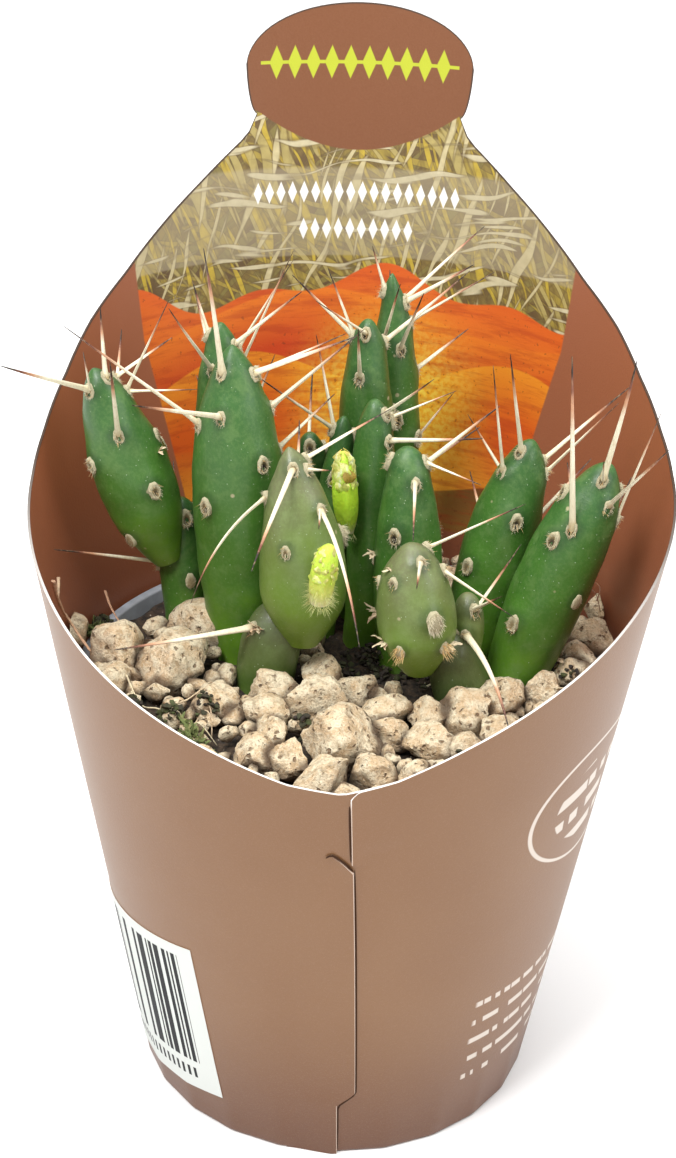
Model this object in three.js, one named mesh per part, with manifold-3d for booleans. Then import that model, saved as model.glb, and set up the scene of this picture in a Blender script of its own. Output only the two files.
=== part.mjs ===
// A potted Maihueniopsis molfinoi: a clump of jointed, spiny cactus stems in pumice gravel,
// in a 65 mm nursery pot that stands in a conical card sleeve with a tall back shield.
// Millimetres, +Z up. The viewer stands on the -Y side, +X is to the viewer's right.
// Until the last step everything is measured from the sleeve's axis, at the height of its base.
import * as THREE from 'three';
import { mergeVertices } from 'three/addons/utils/BufferGeometryUtils.js';
import Module from 'manifold-3d';

const wasm = await Module();
wasm.setup();

// Driving dimensions.
const GAP = 0.35;
const FUSE_TOLERANCE = 0.08;
const CARD_TOLERANCE = 0.01;
const BOX_CENTRE = { x: -0.54, y: 5.246 };

const SLEEVE_BASE_RADIUS = 24.6;
const SLEEVE_SLOPE = 0.1666;
const SLEEVE_HEIGHT = 123.2;
const CARD = 0.6;
const SLEEVE_SIDES = 48;
const SLEEVE_SKEW = 2.6;
const NECK_HEIGHT = 110;
const NECK_ANGLE = 17.3;
const HEAD_WIDEST_HEIGHT = 115.5;
const HEAD_WIDEST_ANGLE = 18.8;
const TAB_COUNT = 24;
const TAB_LENGTH = 8.5;
const CREASE_DEPTH = 0.2;
const SEAM_FLAP_ANGLE = 15;
const SEAM_SLIT_HEIGHT = 47.5;

const POT_TOP = 53.3;
const POT_FLOOR_UNDERSIDE = CARD + GAP;
const POT_BASE_RADIUS = 22.4;
const POT_WALL = 0.9;
const POT_BAND_HEIGHT = 4.2;
const POT_BAND_THICKNESS = 1.3;
const POT_SLACK = 0.15;
const POT_SIDES = 32;
const DRAIN_HOLE_RADIUS = 2.4;
const DRAIN_RING_RADIUS = 15;
const DRAIN_HOLES = 6;

const SOIL_TOP = 49.6;
const GRAVEL_UNDERSIDE = 50;
const GRAVEL_LEVEL = 54.6;
const STEM_FOOT = 46;
const STEM_HOLE_TOP = 60;

const STEM_SIDES = 8;
const STEM_RINGS = 7;
const AREOLE_RADIUS = 0.8;
const AREOLE_HEIGHT = 0.5;
const SPINE_TIP_RADIUS = 0.1;

// Top edge of the card: [degrees from the front, height], the same on both sides.
const RIM_LINE = [
  [0, 57.9], [10, 59.2], [22, 62], [38, 65.4], [53, 68.6], [69, 72.4], [84, 75.6], [95, 77.8],
  [105, 80.6], [116, 84.8], [125, 89.2], [135, 93.4], [143, 97.6], [152, 102.4], [160, 107.2],
  [180 - NECK_ANGLE, NECK_HEIGHT],
];

// The clump, stem by stem. A joint runs from foot over bend to tip, with its largest radius
// at the given share of its length. Its areoles are [share of the length, degrees from the
// front, spines], and a spine is [length, heading from the front, rise, root radius, bow].
const STEMS = {
  stem_left: [
    { foot: [-18.8, 9.5, STEM_FOOT], bend: [-20.2, 9.6, 58], tip: [-20.3, 9.5, 71.5],
      radius: 2.8, widest: 0.6, root: 2.2, point: 0.5,
      areoles: [[0.68, -81, [14.8, -57, 20, 0.3, 0]], [0.93, 24], [0.63, 21]] },
    { foot: [-21.8, 7.8, 64], bend: [-25.4, 7.4, 74], tip: [-30, 6.6, 89],
      radius: 4.6, widest: 0.46, root: 1.8, point: 0.68,
      areoles: [[0.76, 14, [15, 2, 55, 0.45, 0]], [0.96, 60, [8.3, -158, 80, 0.45, 0]],
        [0.94, -30, [15, -39, 27, 0.5, 0], [14.5, 4, 39, 0.3, 0]],
        [0.87, 100, [11.7, 121, 61, 0.38, 0], [8.2, 95, 1, 0.35, 0]],
        [0.65, -52], [0.48, 33], [0.66, 88], [0.25, -36]] },
  ],
  stem_centre_left: [
    { foot: [-11.8, 4.2, STEM_FOOT], bend: [-12.4, 4.4, 66], tip: [-15, 5.6, 92.8],
      radius: 5.5, widest: 0.64, root: 2.6, point: 0.62,
      areoles: [[0.97, 18, [15.9, -25, 70, 0.6, 0]], [0.92, 96, [12.4, 93, 20, 0.45, 0]],
        [0.83, -48, [20.2, -76, 42, 0.55, 0]], [0.86, -3, [15, -42, 22, 0.45, 0]],
        [0.85, 98, [14.5, 100, 38, 0.6, 0]], [0.75, 45], [0.65, -36]] },
  ],
  stem_rear_left: [
    { foot: [-14.2, 12.6, STEM_FOOT], bend: [-15.2, 14.2, 66], tip: [-15.8, 14.8, 92],
      radius: 3.4, widest: 0.7, root: 2.2, point: 0.6,
      areoles: [[0.9, 96, [14.5, 118, 63, 0.38, 0]], [0.95, 60, [10.3, 98, 39, 0.35, 0]],
        [0.9, -21, [14.9, -25, 47, 0.38, 0]], [0.97, -87, [6.6, -113, 71, 0.4, 0]]] },
  ],
  stem_rear_tall: [
    { foot: [5.4, 19.5, STEM_FOOT], bend: [6.2, 21.8, 70], tip: [4.5, 22.4, 96],
      radius: 3, widest: 0.66, root: 2.2, point: 0.85,
      areoles: [[0.96, -80, [6, -68, 72, 0.45, 0]], [0.93, 75, [9.6, 83, 33, 0.4, 0]],
        [0.88, 92, [11.8, 92, 33, 0.4, 0]], [0.83, 18, [14.9, 12, 46, 0.4, 0]],
        [0.85, -32, [15, 8, 46, 0.36, 0]], [0.6, 60], [0.66, 5]] },
  ],
  stem_rear_centre: [
    { foot: [1.6, 14.2, STEM_FOOT], bend: [1.9, 15.6, 70], tip: [1.7, 15.6, 92.6],
      radius: 3.2, widest: 0.7, root: 2.2, point: 0.6,
      areoles: [[0.95, -93, [10.2, -105, 41, 0.4, 0], [9.2, -76, 69, 0.38, 0]],
        [0.86, -18, [17.1, -2, 40, 0.42, 0]], [0.97, -10, [14.9, -27, 32, 0.35, 0]], [0.72, 10]] },
  ],
  stem_centre: [
    { foot: [1.4, 7.2, STEM_FOOT], bend: [3.1, 9, 66], tip: [2.7, 9.3, 85],
      radius: 2.7, widest: 0.72, root: 1.9, point: 0.55,
      areoles: [[0.96, 54, [9.2, 53, 42, 0.42, 0]], [0.88, 45, [11.1, 82, 6, 0.42, 0]],
        [0.93, 90], [0.5, 20]] },
  ],
  stem_behind_shoot: [
    { foot: [-3.6, 9.6, STEM_FOOT], bend: [-2.7, 10.2, 64], tip: [-0.8, 11.6, 81.8],
      radius: 2, widest: 0.66, root: 1.8, point: 0.6,
      areoles: [[0.95, -80, [12.2, -70, 39, 0.36, 0], [11.5, -131, 74, 0.42, 0]], [0.8, -10]] },
  ],
  stem_small_rear: [
    { foot: [-5.5, 14, STEM_FOOT], bend: [-4.9, 14.9, 62], tip: [-4.9, 15.1, 78],
      radius: 2.4, widest: 0.7, root: 1.9, point: 0.5, areoles: [[0.96, 0], [0.8, -40]] },
  ],
  stem_centre_right: [
    { foot: [7.8, 2.6, STEM_FOOT], bend: [7.4, 2.6, 64], tip: [6.6, 3, 81.8],
      radius: 4.1, widest: 0.5, root: 2.6, point: 0.5,
      areoles: [[0.95, 80, [7.2, 67, -12, 0.36, 0]], [0.9, 18, [15, -2, 0, 0.45, 0.1]],
        [0.95, -93], [0.73, -24]] },
  ],
  stem_front_left: [
    { foot: [-10.2, -2.8, STEM_FOOT], bend: [-9.6, -3.2, 56], tip: [-7.6, -3.6, 64.5],
      radius: 3.6, widest: 0.62, root: 2.8, point: 0.5,
      areoles: [[0.83, -54, [17.5, -61, 4, 0.6, 0]]] },
    { foot: [-5, -4.6, 59.8], bend: [-4.6, -4.2, 70], tip: [-7, -3.4, 84.2],
      radius: 5.05, widest: 0.36, root: 1.8, point: 0.75,
      areoles: [[0.93, 9, [16.1, -15, -20, 0.42, 0]], [0.8, -84, [15, -44, -39, 0.45, 0.12]],
        [0.75, 48, [19, 16, -26, 0.5, 0.12], [9, 0, 12, 0.3, 0]],
        [0.91, 60, [3.8, 50, 15, 0.35, 0]], [0.6, -18]] },
  ],
  stem_front_centre: [
    { foot: [14.8, -5, STEM_FOOT], bend: [14.6, -6.2, 56], tip: [11, -7.2, 62.5],
      radius: 3.4, widest: 0.55, root: 2.6, point: 0.5, areoles: [] },
    { foot: [8.6, -8.4, 58.6], bend: [8.2, -8.4, 66], tip: [6.9, -8, 74.8],
      radius: 4.6, widest: 0.42, root: 1.8, point: 0.6,
      areoles: [[0.91, 27, [11, -4, 12, 0.4, 0]], [0.8, 84, [10.9, 45, -9, 0.42, 0]],
        [0.32, -27], [0.8, -39], [0.75, -90], [0.55, 24], [0.32, 39]] },
    { foot: [14.2, -5.6, 58], bend: [14.3, -5, 62], tip: [13.9, -4.8, 67],
      radius: 1.9, widest: 0.55, root: 1.2, point: 0.5,
      areoles: [[0.53, -9, [15.5, 17, -14, 0.55, 0.1]], [0.85, 27, [8, 24, 37, 0.5, 0]]] },
  ],
  stem_right: [
    { foot: [14.2, 5.4, STEM_FOOT], bend: [17, 6.4, 64], tip: [21.4, 7.8, 81],
      radius: 4.4, widest: 0.56, root: 2.4, point: 0.6,
      areoles: [[0.96, -39, [15, -27, 69, 0.45, 0]], [0.88, -57, [15.1, -34, 75, 0.42, 0]],
        [0.9, 82, [11.9, 100, 46, 0.4, 0]], [0.75, 6], [0.55, -48]] },
  ],
  stem_far_right: [
    { foot: [18.2, -1.2, STEM_FOOT], bend: [22, -1.4, 62], tip: [29.8, 0.8, 81.4],
      radius: 4.5, widest: 0.62, root: 2.4, point: 0.55,
      areoles: [[0.96, -12, [16.9, 26, 74, 0.5, 0], [4.8, -9, 50, 0.35, 0]],
        [0.9, 24, [14.9, 30, 48, 0.42, 0]], [0.86, 75, [13.5, 113, 70, 0.38, 0]],
        [0.81, -24, [22.1, -37, 82, 0.5, 0]], [0.76, -42], [0.47, -45], [0.61, 30], [0.88, -84]] },
  ],
};

// Lime-green young shoots, without spines yet.
const SHOOTS = {
  young_shoot_upper: { foot: [0, 5.4, 69], bend: [-0.4, 4.6, 73], tip: [-0.9, 4.8, 80.2],
    radius: 1.75, widest: 0.6, root: 0.8, point: 0.45 },
  young_shoot_lower: { foot: [-3, -10, 66.6], bend: [-3.2, -11, 71], tip: [-2, -10.8, 75.8],
    radius: 1.7, widest: 0.5, root: 0.8, point: 0.45 },
};

// The largest pumice stones: [x, y, width].
const LARGE_STONES = [
  [-19, 4, 9], [-19, -4, 10], [-8, -9, 7], [-3, -12, 8], [0, -20, 9], [-9, -14, 6], [4, -14, 7],
  [10, -13.5, 6], [10, -20, 7], [-2, -28, 7], [3, -26, 6], [18, -10, 7], [23, -8, 6],
  [14, -14, 7], [-13, -19, 7], [-27, -1, 9], [30, 5, 7], [32, 11, 5], [-28, -8, 6], [-21, -12, 6],
  [-15, -12, 6], [-10, -23, 6], [-6, -24, 6], [5, -18, 5], [27, -3, 5], [14, -22, 6], [18, -18, 6],
  [-33, 3, 5], [28, 0, 6], [24, -13, 5], [-25, -15, 5], [8, -27, 5],
];
const STONE_FIELD = {
  pitch: 3.1, smallest: 5, largest: 7, sink: 0.15, jitter: 0.22, tries: 28, crowd: 0.38,
  shape: [1.08, 0.92, 0.78], moundFrom: 27, moundSlope: 0.16,
};
const BARE_RIM = { from: -152, to: -98, radius: 24 };

// A seeded run of numbers between 0 and 1.
function randomRun(seed) {
  let state = seed;
  return () => {
    state = (state * 16807) % 2147483647;
    return state / 2147483647;
  };
}

// A closed three.js geometry as a solid, with doubled points merged and its faces turned out.
function solidOf(geometry) {
  const bare = geometry.clone();
  bare.deleteAttribute('normal');
  bare.deleteAttribute('uv');
  const merged = mergeVertices(bare, 1e-4);
  const points = merged.attributes.position.array;
  const index = merged.index.array;
  const triangles = [];
  let volume = 0;
  const corner = (i) => new THREE.Vector3(points[3 * i], points[3 * i + 1], points[3 * i + 2]);
  for (let i = 0; i < index.length; i += 3) {
    const [a, b, c] = [index[i], index[i + 1], index[i + 2]];
    if (a === b || b === c || c === a) continue;
    triangles.push(a, b, c);
    volume += corner(a).dot(corner(b).cross(corner(c)));
  }
  if (volume < 0) triangles.reverse();
  return new wasm.Manifold(new wasm.Mesh({
    numProp: 3,
    vertProperties: new Float32Array(points),
    triVerts: new Uint32Array(triangles),
  }));
}

function geometryOf(solid) {
  const mesh = solid.getMesh();
  const geometry = new THREE.BufferGeometry();
  geometry.setAttribute('position', new THREE.BufferAttribute(mesh.vertProperties.slice(), 3));
  geometry.setIndex(new THREE.BufferAttribute(mesh.triVerts.slice(), 1));
  geometry.computeVertexNormals();
  return geometry;
}

function joined(solids) {
  return wasm.Manifold.union(solids);
}

// The largest piece of a solid, without the loose scraps a cut can leave.
function mainPiece(solid) {
  const pieces = solid.decompose();
  return pieces.reduce((best, piece) => (piece.volume() > best.volume() ? piece : best));
}

// A round body from its half section [radius, height], listed from one end to the other.
function turned(profile, sides) {
  const points = profile.map(([radius, height]) => new THREE.Vector2(radius, height));
  return solidOf(new THREE.LatheGeometry(points, sides).rotateX(Math.PI / 2));
}

const radians = THREE.MathUtils.degToRad;
const sleeveRadius = (height) => SLEEVE_BASE_RADIUS + SLEEVE_SLOPE * height;

// A unit vector by its heading, in degrees from the front towards the right, and its rise.
function heading(degrees, rise = 0) {
  const level = Math.cos(radians(rise));
  return new THREE.Vector3(
    level * Math.sin(radians(degrees)), -level * Math.cos(radians(degrees)), Math.sin(radians(rise)));
}

function lineAt(line, at) {
  const next = line.findIndex(([x]) => x >= at);
  if (next <= 0) return next === 0 ? line[0][1] : line[line.length - 1][1];
  const [[x0, y0], [x1, y1]] = [line[next - 1], line[next]];
  return y0 + ((y1 - y0) * (at - x0)) / (x1 - x0);
}

function rimHeight(degrees) {
  const half = Math.cos(radians(degrees / 2));
  return lineAt(RIM_LINE, Math.abs(degrees)) + SLEEVE_SKEW * Math.sin(radians(degrees)) * half * half;
}

// A sheet of card from rows of [degrees, height, lift] points. It is closed between its outer
// face and its inner face, one card thickness further in.
function cardSolid(rows, closes) {
  const columns = rows[0].length;
  const vertices = [];
  for (const inward of [0, CARD]) {
    for (const row of rows) {
      for (const [degrees, height, lift] of row) {
        const radius = sleeveRadius(height) + (lift ?? 0) - inward;
        vertices.push(...heading(degrees).multiplyScalar(radius).setZ(height).toArray());
      }
    }
  }
  const index = [];
  const inner = rows.length * columns;
  const at = (row, column) => row * columns + (column % columns);
  const quad = (a, b, c, d) => index.push(a, b, c, a, c, d);
  const spans = closes ? columns : columns - 1;
  for (let row = 0; row + 1 < rows.length; row += 1) {
    for (let column = 0; column < spans; column += 1) {
      const [a, b] = [at(row, column), at(row, column + 1)];
      const [c, d] = [at(row + 1, column + 1), at(row + 1, column)];
      quad(a, b, c, d);
      quad(inner + b, inner + a, inner + d, inner + c);
    }
  }
  for (let column = 0; column < spans; column += 1) {
    const [a, b] = [at(0, column), at(0, column + 1)];
    quad(inner + a, inner + b, b, a);
    const [c, d] = [at(rows.length - 1, column), at(rows.length - 1, column + 1)];
    quad(c, d, inner + d, inner + c);
  }
  for (let row = 0; !closes && row + 1 < rows.length; row += 1) {
    const [a, d] = [at(row, 0), at(row + 1, 0)];
    quad(inner + a, a, d, inner + d);
    const [b, c] = [at(row, spans), at(row + 1, spans)];
    quad(b, inner + b, inner + c, c);
  }
  const geometry = new THREE.BufferGeometry();
  geometry.setAttribute('position', new THREE.Float32BufferAttribute(vertices, 3));
  geometry.setIndex(index);
  return solidOf(geometry);
}

// The card cone with its sloping rim, from the front round to the neck of the shield's head.
function sleeveWall() {
  const step = 360 / SLEEVE_SIDES;
  const snap = 180 - NECK_ANGLE;
  const columns = Array.from({ length: SLEEVE_SIDES }, (_, i) => i * step - 180).map((degrees) => {
    const near = Math.abs(Math.abs(degrees) - snap) < step / 2;
    return near ? Math.sign(degrees) * snap : degrees;
  });
  const crease = (_, i) => (i % 2 ? -CREASE_DEPTH : 0);
  const top = columns.map((degrees) => {
    return Math.abs(degrees) >= snap ? [degrees, NECK_HEIGHT] : [degrees, rimHeight(degrees)];
  });
  const base = columns.map((degrees, i) => [degrees, 0, crease(degrees, i)]);
  return cardSolid([base, top], true);
}

// The oval head of the shield: it widens above the neck and is closed by half an ellipse.
function sleeveHead() {
  const shares = Array.from({ length: 11 }, (_, i) => -Math.cos((Math.PI * i) / 10));
  const row = (halfAngle, height) => shares.map((share) => [180 + share * halfAngle, height(share)]);
  const crown = SLEEVE_HEIGHT - HEAD_WIDEST_HEIGHT;
  const arch = (part) => (share) => HEAD_WIDEST_HEIGHT + 0.4
    + part * (crown - 0.4) * Math.sqrt(Math.max(0.004, 1 - share * share));
  return cardSolid([
    row(NECK_ANGLE, () => NECK_HEIGHT - 1.5),
    row(NECK_ANGLE, () => NECK_HEIGHT),
    row(HEAD_WIDEST_ANGLE - 0.4, () => NECK_HEIGHT + 2.5),
    row(HEAD_WIDEST_ANGLE, () => HEAD_WIDEST_HEIGHT),
    row(HEAD_WIDEST_ANGLE, arch(0.5)),
    row(HEAD_WIDEST_ANGLE, arch(1)),
  ], false);
}

// The lap at the front seam: above the slit the right flap lies outside, below it the left.
function seamFlap(side, low, high) {
  const columns = [0, 0.35, 0.7, 1].map((share) => side * share * SEAM_FLAP_ANGLE);
  const row = (height) => columns.map((degrees, i) => [degrees + 2, height(degrees), 0.45 - 0.16 * i]);
  const rows = [row(low), row(high)];
  return cardSolid(side > 0 ? rows : rows.map((line) => line.reverse()), false);
}

// The tabs that are folded in under the pot, in one flat ring with notched inner edges.
function foldedTabs() {
  const outline = new THREE.Shape();
  const notches = new THREE.Path();
  const inner = SLEEVE_BASE_RADIUS - TAB_LENGTH;
  for (let i = 0; i < TAB_COUNT; i += 1) {
    const start = ((i - 0.5) * 360) / TAB_COUNT;
    const corner = heading(start).multiplyScalar(SLEEVE_BASE_RADIUS - CARD / 2);
    outline[i ? 'lineTo' : 'moveTo'](corner.x, corner.y);
    for (const [share, radius] of [[0, inner + 4.5], [0.2, inner], [0.8, inner]]) {
      const point = heading(start + (share * 360) / TAB_COUNT).multiplyScalar(radius);
      notches[i || share ? 'lineTo' : 'moveTo'](point.x, point.y);
    }
  }
  outline.closePath();
  notches.closePath();
  outline.holes.push(notches);
  return solidOf(new THREE.ExtrudeGeometry(outline, { depth: CARD, bevelEnabled: false }));
}

function cardSleeve() {
  const belowRim = (degrees) => rimHeight(degrees) - 0.25;
  return joined([
    sleeveWall(),
    sleeveHead(),
    foldedTabs(),
    seamFlap(1, () => SEAM_SLIT_HEIGHT, belowRim),
    seamFlap(-1, () => 0.8, () => SEAM_SLIT_HEIGHT - 0.6),
  ]).simplify(CARD_TOLERANCE);
}

const potInnerRadius = (height) => {
  const share = (height - POT_FLOOR_UNDERSIDE) / (POT_TOP - POT_FLOOR_UNDERSIDE);
  const bandRadius = sleeveRadius(POT_TOP) - CARD - GAP - POT_SLACK;
  return POT_BASE_RADIUS - POT_WALL + share * (bandRadius - POT_BAND_THICKNESS - POT_BASE_RADIUS + POT_WALL);
};

// The nursery pot: a thin tapered wall with a thicker band at the rim and drain holes below.
function nurseryPot() {
  const floorTop = POT_FLOOR_UNDERSIDE + 1.1;
  const bandFoot = POT_TOP - POT_BAND_HEIGHT;
  const bandRadius = (height) => sleeveRadius(height) - CARD - GAP - POT_SLACK;
  const wallTop = potInnerRadius(bandFoot) + POT_WALL;
  const body = turned([
    [0, POT_FLOOR_UNDERSIDE], [POT_BASE_RADIUS, POT_FLOOR_UNDERSIDE], [wallTop, bandFoot],
    [bandRadius(bandFoot), bandFoot], [bandRadius(POT_TOP), POT_TOP - 0.3],
    [bandRadius(POT_TOP) - 0.3, POT_TOP], [potInnerRadius(POT_TOP), POT_TOP],
    [potInnerRadius(floorTop), floorTop], [0, floorTop],
  ], POT_SIDES);
  const holes = [];
  for (let i = 0; i < DRAIN_HOLES; i += 1) {
    const place = heading((i * 360) / DRAIN_HOLES).multiplyScalar(DRAIN_RING_RADIUS);
    const drill = new THREE.CylinderGeometry(DRAIN_HOLE_RADIUS, DRAIN_HOLE_RADIUS, 6, 10);
    drill.rotateX(Math.PI / 2);
    drill.translate(place.x, place.y, POT_FLOOR_UNDERSIDE);
    holes.push(solidOf(drill));
  }
  return body.subtract(joined(holes));
}

function axisOf(joint) {
  const point = (place) => new THREE.Vector3(...place);
  return new THREE.QuadraticBezierCurve3(point(joint.foot), point(joint.bend), point(joint.tip));
}

// A joint swells in a quarter wave to its widest place and closes towards the tip.
function jointRadius(joint, share) {
  if (share < joint.widest) {
    const swell = Math.sin((share / joint.widest) * (Math.PI / 2));
    return joint.root + (joint.radius - joint.root) * swell;
  }
  const past = Math.min(1, (share - joint.widest) / (1 - joint.widest));
  return joint.radius * (1 - past * past) ** joint.point;
}

// The joint's own directions at one place: along it, to the front and to the right.
function jointFrame(axis, share) {
  const along = axis.getTangent(share);
  const front = new THREE.Vector3(0, -1, 0);
  front.addScaledVector(along, -front.dot(along)).normalize();
  return { along, front, right: along.clone().cross(front) };
}

function onJoint(joint, share, degrees, extra = 0) {
  const axis = axisOf(joint);
  const { along, front, right } = jointFrame(axis, share);
  const out = front.multiplyScalar(Math.cos(radians(degrees)));
  out.addScaledVector(right, Math.sin(radians(degrees)));
  const place = axis.getPoint(share).addScaledVector(out, jointRadius(joint, share) + extra);
  return { place, out, along };
}

// The fleshy body of a joint: a turned profile, bent along the joint's axis.
function jointBody(joint) {
  const shares = Array.from({ length: STEM_RINGS }, (_, i) => {
    const even = i / (STEM_RINGS - 1);
    return even < 0.5 ? even * 1.1 : 1 - (1 - even) ** 1.6 * (0.45 / 0.5 ** 1.6);
  });
  const profile = shares.map((share) => new THREE.Vector2(jointRadius(joint, share), share));
  profile[profile.length - 1].x = 0;
  profile.unshift(new THREE.Vector2(0, 0));
  const geometry = new THREE.LatheGeometry(profile, STEM_SIDES);
  const axis = axisOf(joint);
  const position = geometry.attributes.position;
  for (let i = 0; i < position.count; i += 1) {
    const share = position.getY(i);
    const { front, right } = jointFrame(axis, share);
    const point = axis.getPoint(share);
    point.addScaledVector(front, position.getZ(i)).addScaledVector(right, position.getX(i));
    position.setXYZ(i, point.x, point.y, point.z);
  }
  return solidOf(geometry);
}

// Turns a geometry that stands along +Y so that it stands on a place along a direction.
function standOn(geometry, place, direction) {
  const turn = new THREE.Quaternion().setFromUnitVectors(new THREE.Vector3(0, 1, 0), direction);
  return geometry.applyQuaternion(turn).translate(place.x, place.y, place.z);
}

function areoleBody(joint, share, degrees) {
  const { place, out, along } = onJoint(joint, share, degrees, -0.25);
  const cushion = new THREE.CylinderGeometry(AREOLE_RADIUS * 0.5, AREOLE_RADIUS, AREOLE_HEIGHT + 0.25, 4);
  cushion.translate(0, (AREOLE_HEIGHT + 0.25) / 2, 0);
  const lift = share > 0.9 ? (share - 0.9) * 8 : 0;
  return solidOf(standOn(cushion, place, out.addScaledVector(along, lift).normalize()));
}

// A three-sided spine, sunk into its areole and bowed upwards where it is bent.
function spineBody(joint, share, degrees, [length, towards, rise, root, bow]) {
  const sink = 0.9;
  const rings = bow ? 4 : 1;
  const spine = new THREE.CylinderGeometry(SPINE_TIP_RADIUS, root, length + sink, 3, rings);
  spine.translate(0, (length - sink) / 2, 0);
  const position = spine.attributes.position;
  const direction = heading(towards, rise);
  const up = new THREE.Vector3(0, 0, 1).addScaledVector(direction, -direction.z).normalize();
  const turn = new THREE.Quaternion().setFromUnitVectors(new THREE.Vector3(0, 1, 0), direction);
  const lift = up.applyQuaternion(turn.invert());
  for (let i = 0; bow && i < position.count; i += 1) {
    const t = Math.max(0, position.getY(i) / length);
    const rises = 4 * bow * length * t * (1 - t);
    position.setXYZ(
      i, position.getX(i) + lift.x * rises, position.getY(i) + lift.y * rises,
      position.getZ(i) + lift.z * rises);
  }
  const { place } = onJoint(joint, share, degrees, 0.1);
  return solidOf(standOn(spine, place, direction));
}

// Sample points along every joint, for keeping spines and stones clear of their neighbours.
const CLUMP = Object.entries(STEMS).flatMap(([stem, joints]) => joints.flatMap((joint) => {
  const axis = axisOf(joint);
  return Array.from({ length: 25 }, (_, i) => ({
    stem, point: axis.getPoint(i / 24), radius: jointRadius(joint, i / 24),
  }));
}));

function isClear(stem, from, to, margin) {
  for (let i = 0; i <= 12; i += 1) {
    const point = from.clone().lerp(to, i / 12);
    const wall = sleeveRadius(point.z) - CARD - Math.hypot(point.x, point.y);
    if (wall < margin) return false;
    const hit = CLUMP.some((part) => part.stem !== stem
      && part.point.distanceTo(point) < part.radius + margin);
    if (hit) return false;
  }
  return true;
}

// Areoles of a joint's far side: a spiral that thins out downwards, with spines near the tip.
function rearAreoles(stem, joint, random) {
  const result = [];
  const length = axisOf(joint).getLength();
  if (length < 12) return result;
  const count = Math.round(length / 6.5);
  for (let i = 0; i < count; i += 1) {
    const share = 0.93 - (i * 4.6) / length;
    const degrees = 180 + ((i * 67) % 130) - 62 + 16 * (random() - 0.5);
    const spineLength = 8 + 6 * random();
    const rise = 15 + 45 * random();
    const swing = 30 * (random() - 0.5);
    if (share < 0.2 || axisOf(joint).getPoint(share).z < GRAVEL_LEVEL + 3) continue;
    const spine = [spineLength, degrees + swing, rise, 0.4, 0];
    const { place } = onJoint(joint, share, degrees);
    const tip = place.clone().addScaledVector(heading(spine[1], rise), spineLength);
    const grows = i < count - 2 && isClear(stem, place, tip, 2.4);
    result.push(grows ? [share, degrees, spine] : [share, degrees]);
  }
  return result;
}

function stemSolid(stem, seed) {
  const random = randomRun(seed);
  const solids = [];
  for (const joint of STEMS[stem]) {
    solids.push(jointBody(joint));
    for (const [share, degrees, ...spines] of [...joint.areoles, ...rearAreoles(stem, joint, random)]) {
      solids.push(areoleBody(joint, share, degrees));
      for (const spine of spines) solids.push(spineBody(joint, share, degrees, spine));
    }
  }
  return mainPiece(joined(solids).simplify(FUSE_TOLERANCE));
}

// A young shoot with a few upright scale leaves round its tip.
function shootSolid(joint) {
  const solids = [jointBody(joint)];
  for (let i = 0; i < 5; i += 1) {
    const { place, out, along } = onJoint(joint, 0.72, i * 72 + 20, -0.5);
    const leaf = new THREE.CylinderGeometry(0.12, 0.55, 2.6, 3).translate(0, 1.3, 0);
    solids.push(solidOf(standOn(leaf, place, along.addScaledVector(out, 0.35).normalize())));
  }
  return mainPiece(joined(solids).simplify(FUSE_TOLERANCE));
}

// Plain holes for the stems, along each stem's lowest stretch.
function stemHoles() {
  return joined(Object.values(STEMS).map(([joint]) => {
    const axis = axisOf(joint);
    const low = axis.getPoint(0);
    const share = Array.from({ length: 50 }, (_, i) => i / 49)
      .find((t) => axis.getPoint(t).z > STEM_HOLE_TOP) ?? 1;
    const high = axis.getPoint(share);
    const bow = axis.getPoint(share / 2).distanceTo(low.clone().lerp(high, 0.5));
    const radius = jointRadius(joint, Math.min(share, joint.widest)) + bow + GAP;
    const span = high.clone().sub(low);
    const length = span.length() + 6;
    const drill = new THREE.CylinderGeometry(radius * 1.06, radius * 1.06, length, 8);
    drill.translate(0, length / 2 - 0.6, 0);
    return solidOf(standOn(drill, low, span.normalize()));
  }));
}

function soilSolid(holes) {
  const floor = POT_FLOOR_UNDERSIDE + 1.1 + GAP;
  const body = turned([
    [0, floor], [potInnerRadius(floor) - GAP, floor], [potInnerRadius(SOIL_TOP) - GAP, SOIL_TOP],
    [0, SOIL_TOP],
  ], POT_SIDES);
  return body.subtract(holes);
}

// The stones: the large ones where they lie, and a jittered field of smaller ones between them.
function stoneList() {
  const random = randomRun(31);
  const stones = LARGE_STONES.map(([x, y, width]) => ({ x, y, width }));
  const clearOfStems = (x, y, room) => CLUMP.every(({ point, radius }) => {
    return point.z > GRAVEL_LEVEL + 4 || Math.hypot(point.x - x, point.y - y) > radius + room;
  });
  const { pitch, smallest, largest, tries, crowd } = STONE_FIELD;
  for (let row = 0; row < tries; row += 1) {
    for (let column = 0; column < tries; column += 1) {
      const shift = (row % 2) * 0.5;
      const x = (column + shift - tries / 2) * pitch + (random() - 0.5) * 2;
      const y = (row - tries / 2) * pitch * 0.87 + (random() - 0.5) * 2;
      const width = smallest + (largest - smallest) * random();
      const radius = Math.hypot(x, y);
      const bearing = THREE.MathUtils.radToDeg(Math.atan2(x, -y));
      const bare = bearing > BARE_RIM.from && bearing < BARE_RIM.to && radius > BARE_RIM.radius;
      const wall = sleeveRadius(GRAVEL_LEVEL) - CARD - width * 0.42;
      const free = stones.every((other) => {
        return Math.hypot(other.x - x, other.y - y) > (other.width + width) * crowd;
      });
      if (radius > wall || bare || !free || !clearOfStems(x, y, width * 0.3)) continue;
      stones.push({ x, y, width });
    }
  }
  return stones.map((stone) => ({
    ...stone, turn: random() * 2 * Math.PI, tilt: random() - 0.5, seed: 7 + Math.floor(random() * 9000),
  }));
}

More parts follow.
